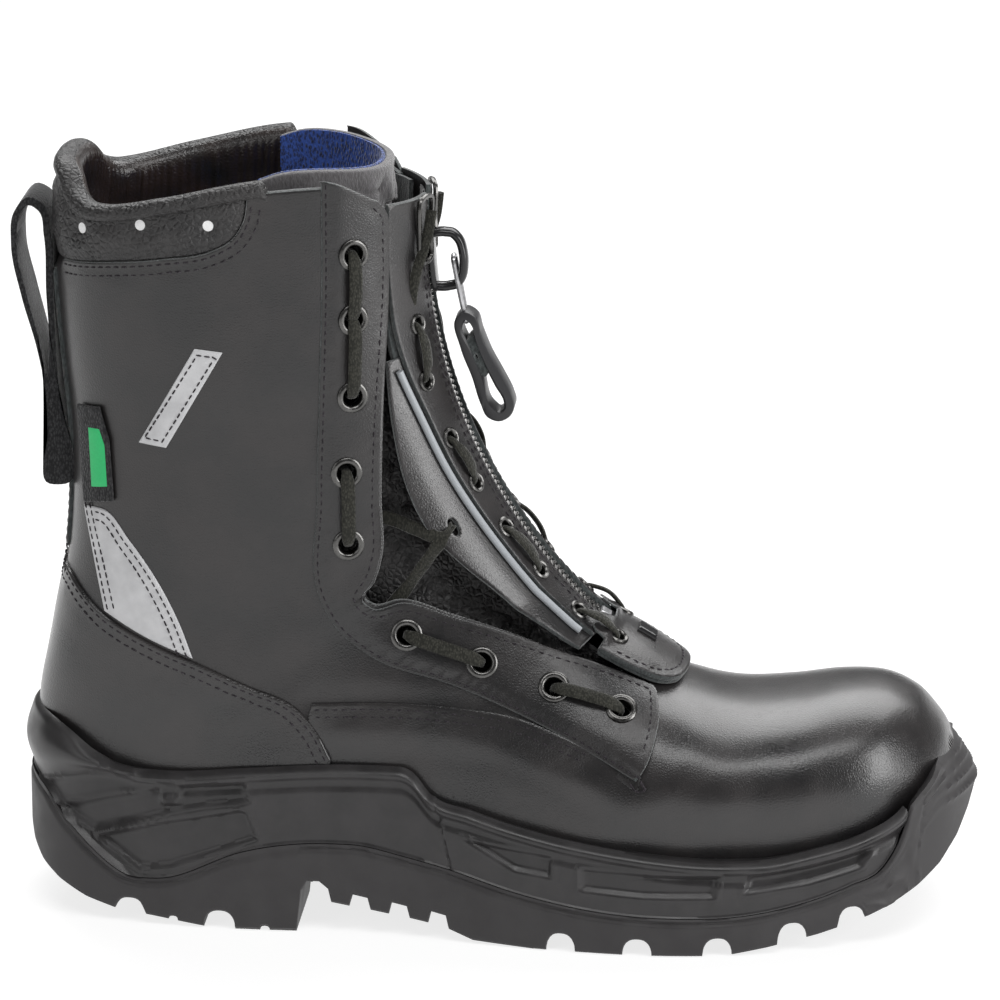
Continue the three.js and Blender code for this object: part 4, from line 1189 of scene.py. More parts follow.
# ------------------------------------------------------------------ the leather panels
def outer_line(points, step=1.2):
    """A smooth side-view line on the outer side, as (angle, turn) places."""
    return place_on(spline(points, step), OUTER)


def outer_corners(corners):
    """A closed side-view outline with straight sides, as places on the outer side."""
    return place_on(polyline([*corners, corners[0]], 1.0), OUTER)[:-1]


def on_side(places, side):
    """An outer-side line on the outer or inner side."""
    return places if side < 0 else np.column_stack([places[:, 0], 360 - places[:, 1]])


def mirrored_back(half):
    """A closed outline from its outer half, which starts and ends at the back (turn 180)."""
    return joined(half, on_side(half, INNER)[::-1])


def mirrored_front(half):
    """A closed outline from its outer half, which starts and ends at the front (turn 360)."""
    return joined(half, np.column_stack([half[:, 0], 720 - half[:, 1]])[::-1])


def along_sole(x_from, x_to, drop):
    """A line a little below the upper's edge, hidden in the sole."""
    x = np.linspace(x_from, x_to, max(3, int(abs(x_to - x_from) / 1.5)))
    return place_on(np.column_stack([x, feather_height(x) - drop]), OUTER)


HIDDEN = 7                       # how far a panel runs on below the sole's edge
SEAM_LAP = 4                     # how far the quarters run on under the vamp
STITCH_DENT = 0.3
ROW_OUT = 0.12                   # how far a stitch stands out of its dent


def dent(places, chart=UPPER, width=0.9, depth=STITCH_DENT):
    """The groove that a row of stitches pulls into the leather."""
    return chart.dense(places, 0.5, closed=False), width, depth


SEAM_ROWS = (2.3, 4.9)           # stitch rows below the vamp's top edge
SEAM_RISE = 0.8                  # how far the vamp lies over the quarters along the seam


def add_vamp():
    """The toe and instep leather, which laps over the quarters along its seam."""
    low = along_sole(-66, 150, HIDDEN)
    toe = np.linspace(low[-1], (88.6, FRONT), 12)
    seam = outer_line(QUARTER_LOW)
    back = outer_line([(-66, 50), (-62, 62), (-57.5, 77)])
    end = outer_line([(49.5, 57.8), (50.5, 64), (51, 72), (50, 79)])
    throat = np.linspace(end[-1], (52, FRONT), 30)
    half = joined(joined(back, seam, end, throat)[::-1], low, toe)
    outline = mirrored_front(half)
    lines = [UPPER.dense(on_side(seam, side), 0.5, False) for side in (OUTER, INNER)]
    end_lines = [UPPER.dense(on_side(outer_line(QUARTER_END), side), 0.5, False)
                 for side in (OUTER, INNER)]
    stitched = seam[:int(0.86 * len(seam))]
    rows = [on_side(UPPER.shifted(stitched, -d), side) for d in SEAM_ROWS
            for side in (OUTER, INNER)]

    def shape(angle, turn, points, distance):
        lap = smoothstep(46, 32, points[:, 0])
        rise = SEAM_RISE * lap * smoothstep(18, 9, distance_to(points, lines))
        under_facing = -0.6 * smoothstep(12, 2, distance_to(points, end_lines))
        ahead = smoothstep(90, 66, points[:, 0])
        crease = 0.3 * ahead * noise_field(points * [1, 0.6, 1.6], 42, 5)
        return rise + under_facing + crease * smoothstep(0, 14, distance_to(points, lines))
    panel("vamp", LOOKS["toe_leather"], "black_leather", UPPER.closed(outline), thick=2.0,
          base=-2.0, spacing=2.4, grooves=[dent(r) for r in rows], edge=0.7, shape=shape,
          replaced=["vamp"])
    stitch_rows("vamp_stitches", rows, SEAM_RISE - STITCH_DENT + ROW_OUT)


EYELETS = [(-44.1, 227.4), (-44.2, 206), (-44.4, 180.5), (-46.2, 155.3), (-45.8, 130.8),
           (-27, 99.7), (-2.5, 90.8), (21, 83), (43, 76.5)]
EYELET_HOLE = 3.4


def eyelet_places(side):
    """The facing's eyelets on one side."""
    return place_on(EYELETS, side)


def round_hole(place, radius, count=20):
    """A circle on the upper round a place."""
    angle, turn = place
    step = 0.05
    per_angle = (surface(angle + step, turn) - surface(angle - step, turn)) / (2 * step)
    per_turn = (surface(angle, turn + step) - surface(angle, turn - step)) / (2 * step)
    along = per_angle / np.linalg.norm(per_angle)
    across = np.cross(surface_normal(angle, turn), along)
    around = np.arange(count) * 2 * math.pi / count
    move = radius * (np.cos(around)[:, None] * along + np.sin(around)[:, None] * across)
    basis = np.stack([per_angle, per_turn], -1)
    return np.array(place) + np.linalg.lstsq(basis, move.T, rcond=None)[0].T


def rim_line(x_from, x_to, drop):
    """A line at a drop below the boot's rim."""
    x = np.linspace(x_from, x_to, max(3, int(abs(x_to - x_from) / 1.2)))
    return place_on(np.column_stack([x, rim_height(x) - drop]), OUTER)


QUARTER_TOP = 0.55               # how far the quarter stands over the vamp
QUARTER_THICK = 2.2
ROW_ONE, ROW_TWO = 1.8, 4.6      # stitch rows from a seam's edge


def add_quarter(label, side):
    """One side of the shaft, from the heel to the facing."""
    collar = outer_line(COLLAR_LOW[1:-1] + [(-76, rim_height(-76) - 4)])
    rim = rim_line(-76, -37, 3)
    front = outer_line([(-33, 240), (-33, 211), (-34.2, 178.4), (-35, 145), (-35, 125),
                        (-37.4, 117), (-40.4, 112), (-37.4, 109.6), (-29, 110.9), (-12.8, 106),
                        (3.4, 100.5), (23, 92.8), (36, 87.9), (48.5, 82)])
    end = outer_line([(48.5, 82), (52.6, 78.8), (54.3, 74), (53.4, 67), (51.4, 61.8),
                      (49.5, 57.8 - SEAM_LAP)])
    low = outer_line([(x, z - SEAM_LAP) for x, z in QUARTER_LOW[::-1]])
    down = outer_line([(-57.5, 77 - SEAM_LAP), (-61, 64), (-64, 50)])
    heel = along_sole(-64, -151, HIDDEN)
    back = np.linspace((29.3, BACK + 0.6), (2.0, BACK + 0.6), 90)
    outline = joined(collar, rim, front, end, low, down, heel, back)
    holes = [round_hole(place, EYELET_HOLE) for place in eyelet_places(OUTER)]
    collar_rows = [UPPER.shifted(outer_line(COLLAR_LOW[1:-1] + [(-76, 246)]), -d)
                   for d in (1.6, 4.4)]
    rows = [on_side(r, side) for r in collar_rows]
    grooves = [dent(r) for r in rows]
    seam = UPPER.dense(on_side(outer_line(QUARTER_LOW), side), 0.5, False)

    def shape(angle, turn, points, distance):
        pull = 0.22 * (noise_field(points * [1, 0.5, 0.7], 60, 11 + side) - 1)
        under_vamp = 0.8 * smoothstep(7, 1.5, distance_to(points, [seam]))
        return pull * smoothstep(0, 15, distance) - under_vamp
    panel(f"quarter_{label}", LOOKS["leather"], "black_leather",
          UPPER.closed(on_side(outline, side)), thick=QUARTER_THICK,
          base=QUARTER_TOP - QUARTER_THICK, holes=[on_side(h, side) for h in holes], spacing=2.3,
          grooves=grooves, shape=shape, edge=0.7, edge_look=LOOKS["suede"],
          replaced=[f"quarter_{label}"])
    stitch_rows(f"quarter_stitches_{label}", rows, QUARTER_TOP - STITCH_DENT + ROW_OUT)


FACING_BASE = 0.6
FACING_THICK = 1.5


def add_facing(label, side):
    """The lacing stay, with its nine eyelet holes."""
    top = rim_line(-53.4, -37, 0.6)
    rear = outer_line([(-53, 251.6)] + FACING_REAR[1:])
    corner = outer_line([(-37, rim_height(-37) - 0.6), (-34.6, 240), (-34, 232)])
    front = joined(corner, outer_line([(-34, 232)] + FACING_FRONT[1:]))
    end = outer_line([(49, 81.9), (53.2, 79.8), (55, 74.4), (54, 67), (52, 61.8), (49, 57.5)])
    outline = joined(top, front, end, rear[::-1])
    holes = [round_hole(place, EYELET_HOLE) for place in eyelet_places(OUTER)]
    rear_row = UPPER.shifted(rear, 1.5)
    front_row = UPPER.shifted(joined(front, end[:18]), -2.6)
    rows = [on_side(r, side) for r in (rear_row, front_row)]
    rear_line = UPPER.dense(on_side(rear, side), 0.5, False)

    def shape(angle, turn, points, distance):
        skive = -(FACING_THICK - 0.35) * smoothstep(5.0, 0.0, distance_to(points, [rear_line]))
        swell = 0.25 * noise_field(points, 30, 3 + side)
        return skive + swell * smoothstep(1, 8, distance)
    panel(f"facing_{label}", LOOKS["leather"], "black_leather",
          UPPER.closed(on_side(outline, side)), thick=FACING_THICK, base=FACING_BASE,
          holes=[on_side(h, side) for h in holes], spacing=2.0, grooves=[dent(r) for r in rows],
          shape=shape, edge=0.5, edge_look=LOOKS["suede"], replaced=[f"facing_{label}"])
    parts = stitches(rows[0], FACING_BASE + 0.3) + stitches(
        rows[1], FACING_BASE + FACING_THICK - STITCH_DENT + ROW_OUT)
    stitching(f"facing_stitches_{label}", parts)


def bar_tack(label, side):
    """Close stitches that lock the end of the facing."""
    line = outer_line([(50.5, 57.5), (52, 55), (49, 54.6), (47.2, 56.6)])
    stitch_rows(f"bar_tack_{label}", [on_side(line, side)], 0.8, pitch=0.9, length=1.8,
                radius=0.35)


COUNTER_TOP_OUT = 1.65           # how far the counter cover's face stands out


def add_counter_cover():
    """The leather round the heel, over both quarters' ends."""
    top = outer_line(COUNTER_TOP[2:][::-1])
    rise = joined(top, outer_line([COUNTER_TOP[2], (-143, 116.2), (-148, 117)]))
    low = along_sole(-51.4, -151, HIDDEN)
    half = joined(low[::-1], outer_line([(-51.6, 51.5), (-51, 58.6)]), rise)
    outline = mirrored_back(half)
    rows = [UPPER.shifted(rise, d) for d in (ROW_ONE, ROW_TWO)]
    rows = rows + [on_side(r, INNER) for r in rows]
    ridge = UPPER.shifted(rise, 6.6)
    grooves = [dent(r) for r in rows] + [dent(r, width=1.2, depth=0.3)
                                         for r in (ridge, on_side(ridge, INNER))]

    def shape(angle, turn, points, distance):
        return 0.2 * (noise_field(points, 48, 21) - 1) * smoothstep(0, 15, distance)
    panel("counter_cover", LOOKS["toe_leather"], "black_leather", UPPER.closed(outline), thick=1.3,
          base=0.35, spacing=2.3, grooves=grooves, shape=shape, edge=0.8,
          replaced=["counter_cover"])
    stitch_rows("counter_stitches", rows, COUNTER_TOP_OUT - STITCH_DENT + ROW_OUT)


def add_back_strip():
    """The strip that covers the seam up the back."""
    spread = 13.5
    half = joined(np.linspace((3.0, BACK), (3.0, BACK + spread), 8),
                  np.linspace((3.0, BACK + spread), (20.4, BACK + spread), 60),
                  np.linspace((20.4, BACK + spread), (20.4, BACK), 8))
    outline = mirrored_back(half)
    row = np.linspace((3.2, BACK + spread - 3), (20.2, BACK + spread - 3), 60)
    rows = [row, on_side(row, INNER)]
    panel("back_strip", LOOKS["leather"], "black_leather", UPPER.closed(outline), thick=1.4,
          base=0.5, spacing=2.0, grooves=[dent(r) for r in rows], edge=0.6,
          edge_look=LOOKS["suede"], replaced=["back_strip"])
    stitch_rows("back_strip_stitches", rows, 1.75)


HEEL_REFLECTOR = [(-132.5, 138.5), (-125.2, 139), (-116.6, 130), (-108.3, 118.5), (-101, 104.1),
                  (-96.4, 91.2)]
HEEL_REFLECTOR_REAR = [(-125.5, 104.8), (-128.8, 120.8), (-132.5, 138.5)]
SIDE_BAR = [(-112.5, 164), (-103.5, 163), (-84.5, 196), (-93.5, 197)]
SIDE_BAR_ROW = [(-110.4, 165.9), (-104.6, 165.1), (-87, 194.3), (-92.6, 195)]


def add_reflectors(label, side):
    """The heel's and the side's reflective trims."""
    front = outer_line(HEEL_REFLECTOR, 1.0)
    rear = outer_line(HEEL_REFLECTOR_REAR, 1.0)
    low = outer_line([(-96.4, 91.2), (-110, 96.8), (-125.5, 104.8)], 1.0)
    outline = joined(front, low, rear)
    rows = [on_side(UPPER.shifted(line, -inward), side)
            for line, inward in ((front[4:], 1.6), (front[4:], 4.2), (rear, 1.4), (rear, 3.8))]
    panel(f"heel_reflector_{label}", LOOKS["reflective"], "reflective_grey",
          UPPER.closed(on_side(outline, side)), thick=0.55, base=0.5, spacing=2.0, edge=0.25,
          rings=(0.3, 0.9), grooves=[dent(r, width=0.7, depth=0.2) for r in rows],
          replaced=[f"heel_reflector_{label}"])
    corners = outer_corners(SIDE_BAR)
    bar_row = on_side(place_on(polyline(SIDE_BAR_ROW + SIDE_BAR_ROW[:1]), OUTER), side)
    panel(f"side_reflector_{label}", LOOKS["reflective"], "reflective_grey",
          UPPER.closed(on_side(corners, side)), thick=0.55, base=0.5, spacing=2.0, edge=0.25,
          rings=(0.3, 0.9), grooves=[dent(bar_row, width=0.7, depth=0.25)],
          replaced=[f"side_reflector_{label}"])
    stitch_rows(f"reflector_stitches_{label}", rows + [bar_row], 0.95, pitch=2.6)


# ------------------------------------------------------------------ collar, lining, tongue
VENTS = [(-130.7, 233.1), (-110.6, 236.9), (-88.5, 237.7)]
VENT_RADIUS = 1.25
COLLAR_BASE, COLLAR_THICK = -3.2, 3.6


def add_collar_pad():
    """The padded collar panel with its vents."""
    low = outer_line([(-147, 219.8)] + COLLAR_LOW[1:-1] + [(-76, rim_height(-76) - 4)])
    top = rim_line(-76, -146, 3.0)
    outer = joined(np.linspace((2.0, BACK), low[0], 6), low, top,
                   np.linspace(top[-1], (-5.0, BACK), 6))
    outline = mirrored_back(outer)
    holes = [round_hole(p, VENT_RADIUS, count=16) for p in place_on(VENTS, OUTER)]
    holes += [on_side(h, INNER)[::-1] for h in holes]

    def shape(angle, turn, points, distance):
        puff = 1.5 * smoothstep(0.3, 9, distance)
        folds = 0.3 * noise_field(points * [1, 1, 2.2], 9, 31) + 0.12 * noise_field(points, 3.5, 32)
        return puff + folds * smoothstep(0.5, 5, distance)
    piece = panel("collar_pad", LOOKS["soft_leather"], "soft_leather", UPPER.closed(outline),
                  thick=COLLAR_THICK - 0.2, base=COLLAR_BASE, holes=holes, spacing=1.8, shape=shape,
                  edge=1.2, rings=(0.3, 0.8, 1.6), replaced=["collar_pad"])
    discs = []
    for side in (OUTER, INNER):
        for place in place_on(VENTS, side):
            around = round_hole(place, VENT_RADIUS + 0.5, count=16)
            ring = raised(around[:, 0], around[:, 1], 0.0)
            deep = raised(around[:, 0], around[:, 1], -1.4)
            faces = [list(range(16)), list(range(16, 32))[::-1]]
            faces += [[k, 16 + k, 16 + (k + 1) % 16, (k + 1) % 16] for k in range(16)]
            discs.append((np.vstack([ring, deep]), faces))
    points, faces = merged(discs)
    make("collar_vents", points, faces, LOOKS["vent"], "reflective_grey")


def rim_angle(turn, drop=0.0):
    """The angle at which the surface reaches the rim's height, less a drop, at each turn."""
    low, high = np.full(len(turn), -8.9), np.full(len(turn), 14.0)
    for _ in range(30):
        middle = (low + high) / 2
        point = surface(middle, turn)
        above = point[:, 2] > rim_height(point[:, 0]) - drop
        low, high = np.where(above, middle, low), np.where(above, high, middle)
    return (low + high) / 2


ROLL_SECTION = [(-1.2, 4.9), (0.6, 4.6), (1.7, 3.3), (1.5, 1.3), (0.0, -0.3), (-3.2, -0.6),
                (-6.2, 0.8), (-7.9, 3.8), (-8.0, 8.0), (-7.2, 14.0), (-6.9, 24.0), (-6.8, 38.0),
                (-5.4, 38.0), (-5.2, 14.0), (-3.4, 7.5)]
ROLL_FRONT_TURN = 285.5          # where the roll ends on the outer side, at the facing


ROLL_RINGS, ROLL_STEP = 330, 0.9


def roll_pleats(section):
    """How far the gathered lining inside the roll stands out, for each ring and section point."""
    inner = (section[:, 0] < -4.5) & (section[:, 1] > 1)
    along = np.arange(ROLL_RINGS) * ROLL_STEP
    pleats = np.zeros((ROLL_RINGS, len(section)))
    rng = np.random.default_rng(9)
    place = 4.0
    while place < along[-1]:
        width = rng.uniform(1.2, 2.6)
        deep = rng.uniform(0.25, 0.75)
        lean = rng.uniform(-0.08, 0.08)
        centre_line = place + lean * section[None, :, 1]
        pleats += deep * hump(along[:, None], centre_line, width)
        place += rng.uniform(2.2, 4.5)
    return pleats * smoothstep(1.5, 6, section[:, 1]) * inner


def add_collar_roll():
    """The rolled rim: soft leather outside, pleated lining leather inside."""
    section = spline(ROLL_SECTION, 1.3, closed=True)
    turn = np.linspace(360 - ROLL_FRONT_TURN, ROLL_FRONT_TURN, ROLL_RINGS)
    top = rim_angle(turn)
    radius = np.hypot(*(surface(top, turn)[:, [0, 2]] - [CENTRE_X, CENTRE_Z]).T)
    rings = []
    for t, a, r in zip(turn, top, radius):
        angles = a + np.degrees(section[:, 1] / r)
        rings.append(raised(angles, np.full(len(section), t), section[:, 0]))
    rings = np.array(rings)
    from_end = np.minimum(np.arange(ROLL_RINGS), np.arange(ROLL_RINGS)[::-1])
    centre = rings.mean(1, keepdims=True)
    normal = surface_normal(np.repeat(top[:, None], len(section), 1),
                            np.repeat(turn[:, None], len(section), 1))
    rings = rings + normal * roll_pleats(section)[..., None]
    rings = centre + (rings - centre) * (0.75 + 0.25 * smoothstep(0, 6, from_end))[:, None, None]
    points, faces = outward(rings.reshape(-1, 3), tube_faces(ROLL_RINGS, len(section)))
    piece = make("collar_roll", points, faces, LOOKS["lining_leather"], "soft_leather",
                 replaced=["collar_roll"], sharp=60)
    piece.data.materials.append(LOOKS["soft_leather"])
    sides = len(section)
    outside = (section[:, 0] > -5) & (section[:, 1] < 9)
    for k, face in enumerate(piece.data.polygons):
        if k < (ROLL_RINGS - 1) * sides and outside[k % sides]:
            face.material_index = 1


def add_lining():
    """The knitted bootie inside the shaft."""
    front = outer_line([(x - 2.5, z) for x, z in FACING_REAR[1:]] + [(54, 52)], 2.0)
    front = front[front[:, 0] > -2]
    top = np.linspace(190, front[0, 1], 40)
    rim = np.column_stack([rim_angle(top, 34), top])
    tip = np.linspace((54, 357), (86, 357), 24)
    outer = joined(np.array([[rim_angle(np.array([BACK]), 34)[0], BACK]]), rim, front,
                   np.linspace(front[-1], (54, 357), 30), tip,
                   np.linspace((86, 357), (86, BACK), 60))
    outline = mirrored_back(outer)
    panel("lining", LOOKS["lining"], "blue_lining", UPPER.closed(outline), thick=1.4, base=-6.6,
          spacing=4.5, edge=0.3, rings=(1.5,), replaced=["lining_bootie", "ankle_foam"])


NUBUCK_FROM = 236                # the height from which the tongue is bare grey leather


def add_tongue():
    """The tongue's leather and, inside it, its knitted lining, both open to the back."""
    side = outer_line([(-73, 250), (-72, 225), (-62, 185), (-55, 150), (-50, 122), (-38, 100),
                       (-10, 90), (30, 74), (66, 66)], 1.6)
    crest = outer_line([(-73, 250), (-66, 252), (-50, 252.5), (-40, 251.5), (-28, 250)])
    crest = crest[crest[:, 1] < 352]
    middle = np.linspace(crest[-1], (crest[-1, 0], FRONT), 8)
    tip = np.linspace(side[-1], (66, FRONT), 30)
    half = joined(middle[::-1], crest[::-1], side, tip)
    outline = mirrored_front(half)

    def shape(angle, turn, points, distance):
        puff = 1.2 * smoothstep(0, 10, distance)
        folds = 0.9 * noise_field(points * [0.6, 1, 1.5], 18, 41)
        for size, seed, deep in ((22, 43, 1.5), (13, 44, 0.9)):
            crease = 1 - np.abs(noise_field(points * [0.7, 1, 1.3], size, seed))
            folds -= deep * np.clip(crease, 0, 1) ** 5
        return puff + folds * smoothstep(1, 8, distance)
    piece = panel("tongue", LOOKS["soft_leather"], "soft_leather", UPPER.closed(outline), thick=2.6,
                  base=-11.2, spacing=1.9, shape=shape, edge=0.9, edge_look=LOOKS["suede"],
                  replaced=["tongue"])
    piece.data.materials.append(LOOKS["nubuck"])
    for face in piece.data.polygons:
        if face.center.z > NUBUCK_FROM * MM:
            face.material_index = 2
    panel("tongue_lining", LOOKS["knit"], "blue_lining", UPPER.closed(outline), thick=1.2,
          base=-12.8, spacing=3.0, edge=0.5, rings=(0.6,))


# ------------------------------------------------------------------ swept cords and turned rings
def frame_at(place, chart=UPPER):
    """A place's point, its directions along and across the chart, and its normal."""
    first, second = place
    step = 0.05
    along = chart.point(first + step, second) - chart.point(first - step, second)
    along /= np.linalg.norm(along)
    normal = chart.normal(first, second)
    return chart.point(first, second), along, np.cross(normal, along), normal


def ring_at(place, profile, chart=UPPER, count=28):
    """A closed (radius, out) profile turned round the normal at a place."""
    centre, along, across, normal = frame_at(place, chart)
    turn = np.arange(count) * 2 * math.pi / count
    round_ = np.cos(turn)[:, None] * along + np.sin(turn)[:, None] * across
    radius, out = np.array(profile, float).T
    points = (centre + round_[:, None, :] * radius[None, :, None]
              + normal * out[None, :, None])
    faces = grid_faces(count, len(profile), close_rows=True, close_columns=True)
    return outward(points.reshape(-1, 3), faces)


def swept(path, side, width, thick, sides=10):
    """A flat or round cord along a path; `side` is the direction of its width at each point."""
    path = np.asarray(path, float)
    tangent = np.gradient(path, axis=0)
    tangent /= np.linalg.norm(tangent, axis=1, keepdims=True)
    side = np.broadcast_to(side, path.shape)
    side = side - (side * tangent).sum(1, keepdims=True) * tangent
    side /= np.linalg.norm(side, axis=1, keepdims=True)
    top = np.cross(tangent, side)
    width = np.broadcast_to(width, len(path))[:, None, None] / 2
    thick = np.broadcast_to(thick, len(path))[:, None, None] / 2
    turn = np.arange(sides) * 2 * math.pi / sides
    wide = np.sign(np.cos(turn)) * np.abs(np.cos(turn)) ** 0.7
    rings = (path[:, None, :] + wide[None, :, None] * width * side[:, None, :]
             + np.sin(turn)[None, :, None] * thick * top[:, None, :])
    return outward(rings.reshape(-1, 3), tube_faces(len(path), sides))


def closed_wire(corners, radius, step=0.8):
    """A round wire bent into a closed loop through its corners."""
    path = spline(corners, step, closed=True)
    path = np.vstack([path, path[:2]])
    return swept(path, np.cross(path[3] - path[0], path[len(path) // 2] - path[0]),
                 width=2 * radius, thick=2 * radius, sides=8)


def holed_band(outline, hole, half, soft=0.7, count=150):
    """A side-view outline with a hole, as wide as 2 x half in Y, with softened rims."""
    outer = resampled(np.vstack([outline, outline[:1]]), 0.2)
    inner = resampled(np.vstack([hole, hole[:1]]), 0.2)
    outer = outer[np.linspace(0, len(outer) - 1, count + 1).astype(int)[:-1]]
    inner = inner[np.linspace(0, len(inner) - 1, count + 1).astype(int)[:-1]]
    toward_inner = inner - outer
    length = np.linalg.norm(toward_inner, axis=1, keepdims=True)
    unit = toward_inner / length
    soft_in = np.minimum(soft, length * 0.3)
    levels = [(outer, -half + soft), (outer + unit * soft_in * 0.3, -half + soft * 0.3),
              (outer + unit * soft_in, -half), (inner - unit * soft_in, -half),
              (inner, -half + soft), (inner, half - soft), (inner - unit * soft_in, half),
              (outer + unit * soft_in, half), (outer + unit * soft_in * 0.3, half - soft * 0.3),
              (outer, half - soft)]
    rings = np.array([np.column_stack([p[:, 0], np.full(count, y), p[:, 1]]) for p, y in levels])
    faces = grid_faces(len(levels), count, close_rows=True, close_columns=True)
    return outward(rings.reshape(-1, 3), faces)


def piece_of(name, parts, look, slot, body="boot", **place):
    """One piece from several parts."""
    points, faces = merged(parts)
    return make(name, points, faces, look, slot, body=body, **place)


# ------------------------------------------------------------------ the zipper insert
FLAPS = {"outer": "outer_flap", "inner": "inner_flap"}
INSERT_TOP, INSERT_SPLIT = -3.5, 48.45
OPEN_SLANT = 0.056               # degrees per mm: the flaps' ends swing clear of the end piece


def flap_end(y):
    """The lowest place of a flap at a distance from the zipper."""
    return INSERT_SPLIT - OPEN_SLANT * y, y


STRAP_EDGE, TAPE_EDGE = 5.2, 3.3
STRAP_OUTER = [(-3.5, 24.5), (4, 24.5), (10, 24.3), (13.5, 23.4), (18.4, 21.4), (25, 20),
               (30.6, 18.6), (35.8, 17.6), (41, 17.2), (45.8, 17.3), (48.45, 17.8)]
PIPING_LINE = [(13.2, 25.3), (18.4, 23.3), (25, 21.8), (30.6, 20.4), (35.8, 19.4), (41, 19),
               (46.1, 19.1)]
PIPING_WIDE = 2.3
WING_EDGE = [(12, 27.2), (18, 29.4), (24.6, 31), (28.5, 31), (33, 29.3), (37.2, 27), (44.2, 24.6),
             (48.45, 23.9)]
INSERT_EYELETS = [(9.4, 17), (15.2, 18.6), (21.8, 17), (27.2, 15.2), (33, 14), (38.8, 12.8),
                  (44.8, 13)]
END_EYELET = (49.8, 13)
WING_SLIT = (29.6, 26.8)


def strip_line(points, side, step=1.2, draw=spline):
    """A line on the strip from (angle, distance from the zipper) points."""
    line = draw([(STRIP.scale[0] * angle, y) for angle, y in points], step)
    return np.column_stack([line[:, 0] / STRIP.scale[0], side * line[:, 1]])


def strip_corners(corners, side, step=1.2):
    """A closed outline on the strip with straight sides."""
    return STRIP.closed(strip_line([*corners, corners[0]], side, step, polyline))


def mirrored_strip(half):
    """A closed outline from its half on one side of the zipper."""
    return joined(half, (half * [1, -1])[::-1])


def strip_circle(place, side, radius, count=18, stretch=1.0):
    """A circle on the strip, or an ellipse stretched along the zipper."""
    turn = np.arange(count) * 2 * math.pi / count
    angle, y = place
    return np.column_stack([angle + radius * stretch * np.cos(turn) / STRIP.scale[0],
                            side * (y + radius * np.sin(turn))])


def add_insert_side(label, side):
    """One half of the zipper panel: strap, wing, backing, piping, eyelets and tape."""
    body = FLAPS[label]
    inner_edge = strip_line([(INSERT_TOP, STRAP_EDGE), flap_end(STRAP_EDGE), flap_end(17.5)], side,
                            draw=polyline)
    outer_edge = strip_line(STRAP_OUTER[:-1] + [flap_end(17.5)], side)
    top = strip_line([(INSERT_TOP, 24.5), (INSERT_TOP, STRAP_EDGE)], side, draw=polyline)
    strap = joined(inner_edge, outer_edge[::-1], top)
    rows = [strip_line([(INSERT_TOP + 0.6, y), (46.4, y)], side, 1.0, polyline)
            for y in (7.0, 9.4)]
    holes = [strip_circle(p, side, radius=2.2) for p in INSERT_EYELETS]
    grooves = [dent(r, STRIP) for r in rows]
    panel(f"insert_strap_{label}", LOOKS["leather"], "black_leather", STRIP.closed(strap),
          thick=1.6, base=0.3, holes=holes, spacing=1.9, grooves=grooves, chart=STRIP, body=body,
          edge_look=LOOKS["suede"], replaced=[f"insert_leather_{label}"])
    stitch_rows(f"insert_stitches_{label}", rows, 1.9 - STITCH_DENT + ROW_OUT, STRIP, body)
    wing_edge = strip_line(WING_EDGE[:-1] + [flap_end(23.9)], side)
    wing = joined(strip_line([(12, 12), flap_end(12), flap_end(23.9)], side, draw=polyline),
                  wing_edge[::-1], strip_line([(12, 27.2), (12, 12)], side, draw=polyline))
    slit = strip_circle(WING_SLIT, side, radius=0.9, count=16, stretch=3.2)
    panel(f"insert_wing_{label}", LOOKS["toe_leather"], "black_leather", STRIP.closed(wing),
          thick=1.2, base=-1.1, holes=[slit], spacing=2.0, chart=STRIP, body=body,
          edge_look=LOOKS["suede"])
    lining = strip_corners([(INSERT_TOP + 0.5, 17), (14, 17), (14, 25.3), (INSERT_TOP + 0.5, 25.6)],
                           side)
    panel(f"insert_backing_{label}", LOOKS["suede"], "soft_leather", lining, thick=1.6, base=-2.3,
          chart=STRIP, body=body)
    line = strip_line(PIPING_LINE, side, 1.0)
    path = STRIP.raised(line[:, 0], line[:, 1], 1.1)
    side_way = np.cross(np.gradient(path, axis=0), STRIP.normal(line[:, 0], line[:, 1]))
    cord = swept(path, side_way, width=PIPING_WIDE, thick=PIPING_WIDE)
    piece_of(f"insert_piping_{label}", [cord], LOOKS["piping"], "reflective_grey", body)
    rings = [ring_at((a, side * y), INSERT_RING, STRIP, count=22) for a, y in INSERT_EYELETS]
    piece_of(f"insert_eyelets_{label}", rings, LOOKS["gunmetal"], "gunmetal", body)
    tape = strip_corners([(-3, TAPE_EDGE), flap_end(TAPE_EDGE), flap_end(11), (-3, 11)], side)
    panel(f"zip_tape_{label}", LOOKS["tape"], "black_textile", tape, thick=0.6, base=-0.75,
          chart=STRIP, body=body, edge=0.2, rings=(0.4,), replaced=[f"zip_tape_{label}"])


def add_stud():
    """The square cap riveted through the insert's end."""
    cap = strip_corners([(51.4, 0), (51.4, 3.4), (53.6, 3.4), (53.6, -3.4), (51.4, -3.4)],
                        INNER, 0.6)
    panel("end_stud", LOOKS["black_metal"], "gunmetal", cap, thick=1.6, base=1.9, spacing=0.9,
          rings=(0.3, 0.6), chart=STRIP, edge=0.7, replaced=["end_stud"])


INSERT_RING = [(3.6, 1.85), (3.5, 2.4), (3.0, 2.7), (2.4, 2.5), (2.0, 1.9), (1.95, 0.4),
               (2.15, 0.4), (2.3, 1.85)]


TOOTH_PITCH = 0.66               # degrees
CHAIN_TOP, CHAIN_END = 8.6, 47.0
TOOTH_HALF = 0.19                # degrees
TOOTH_SLANT = 0.16               # degrees across the tooth


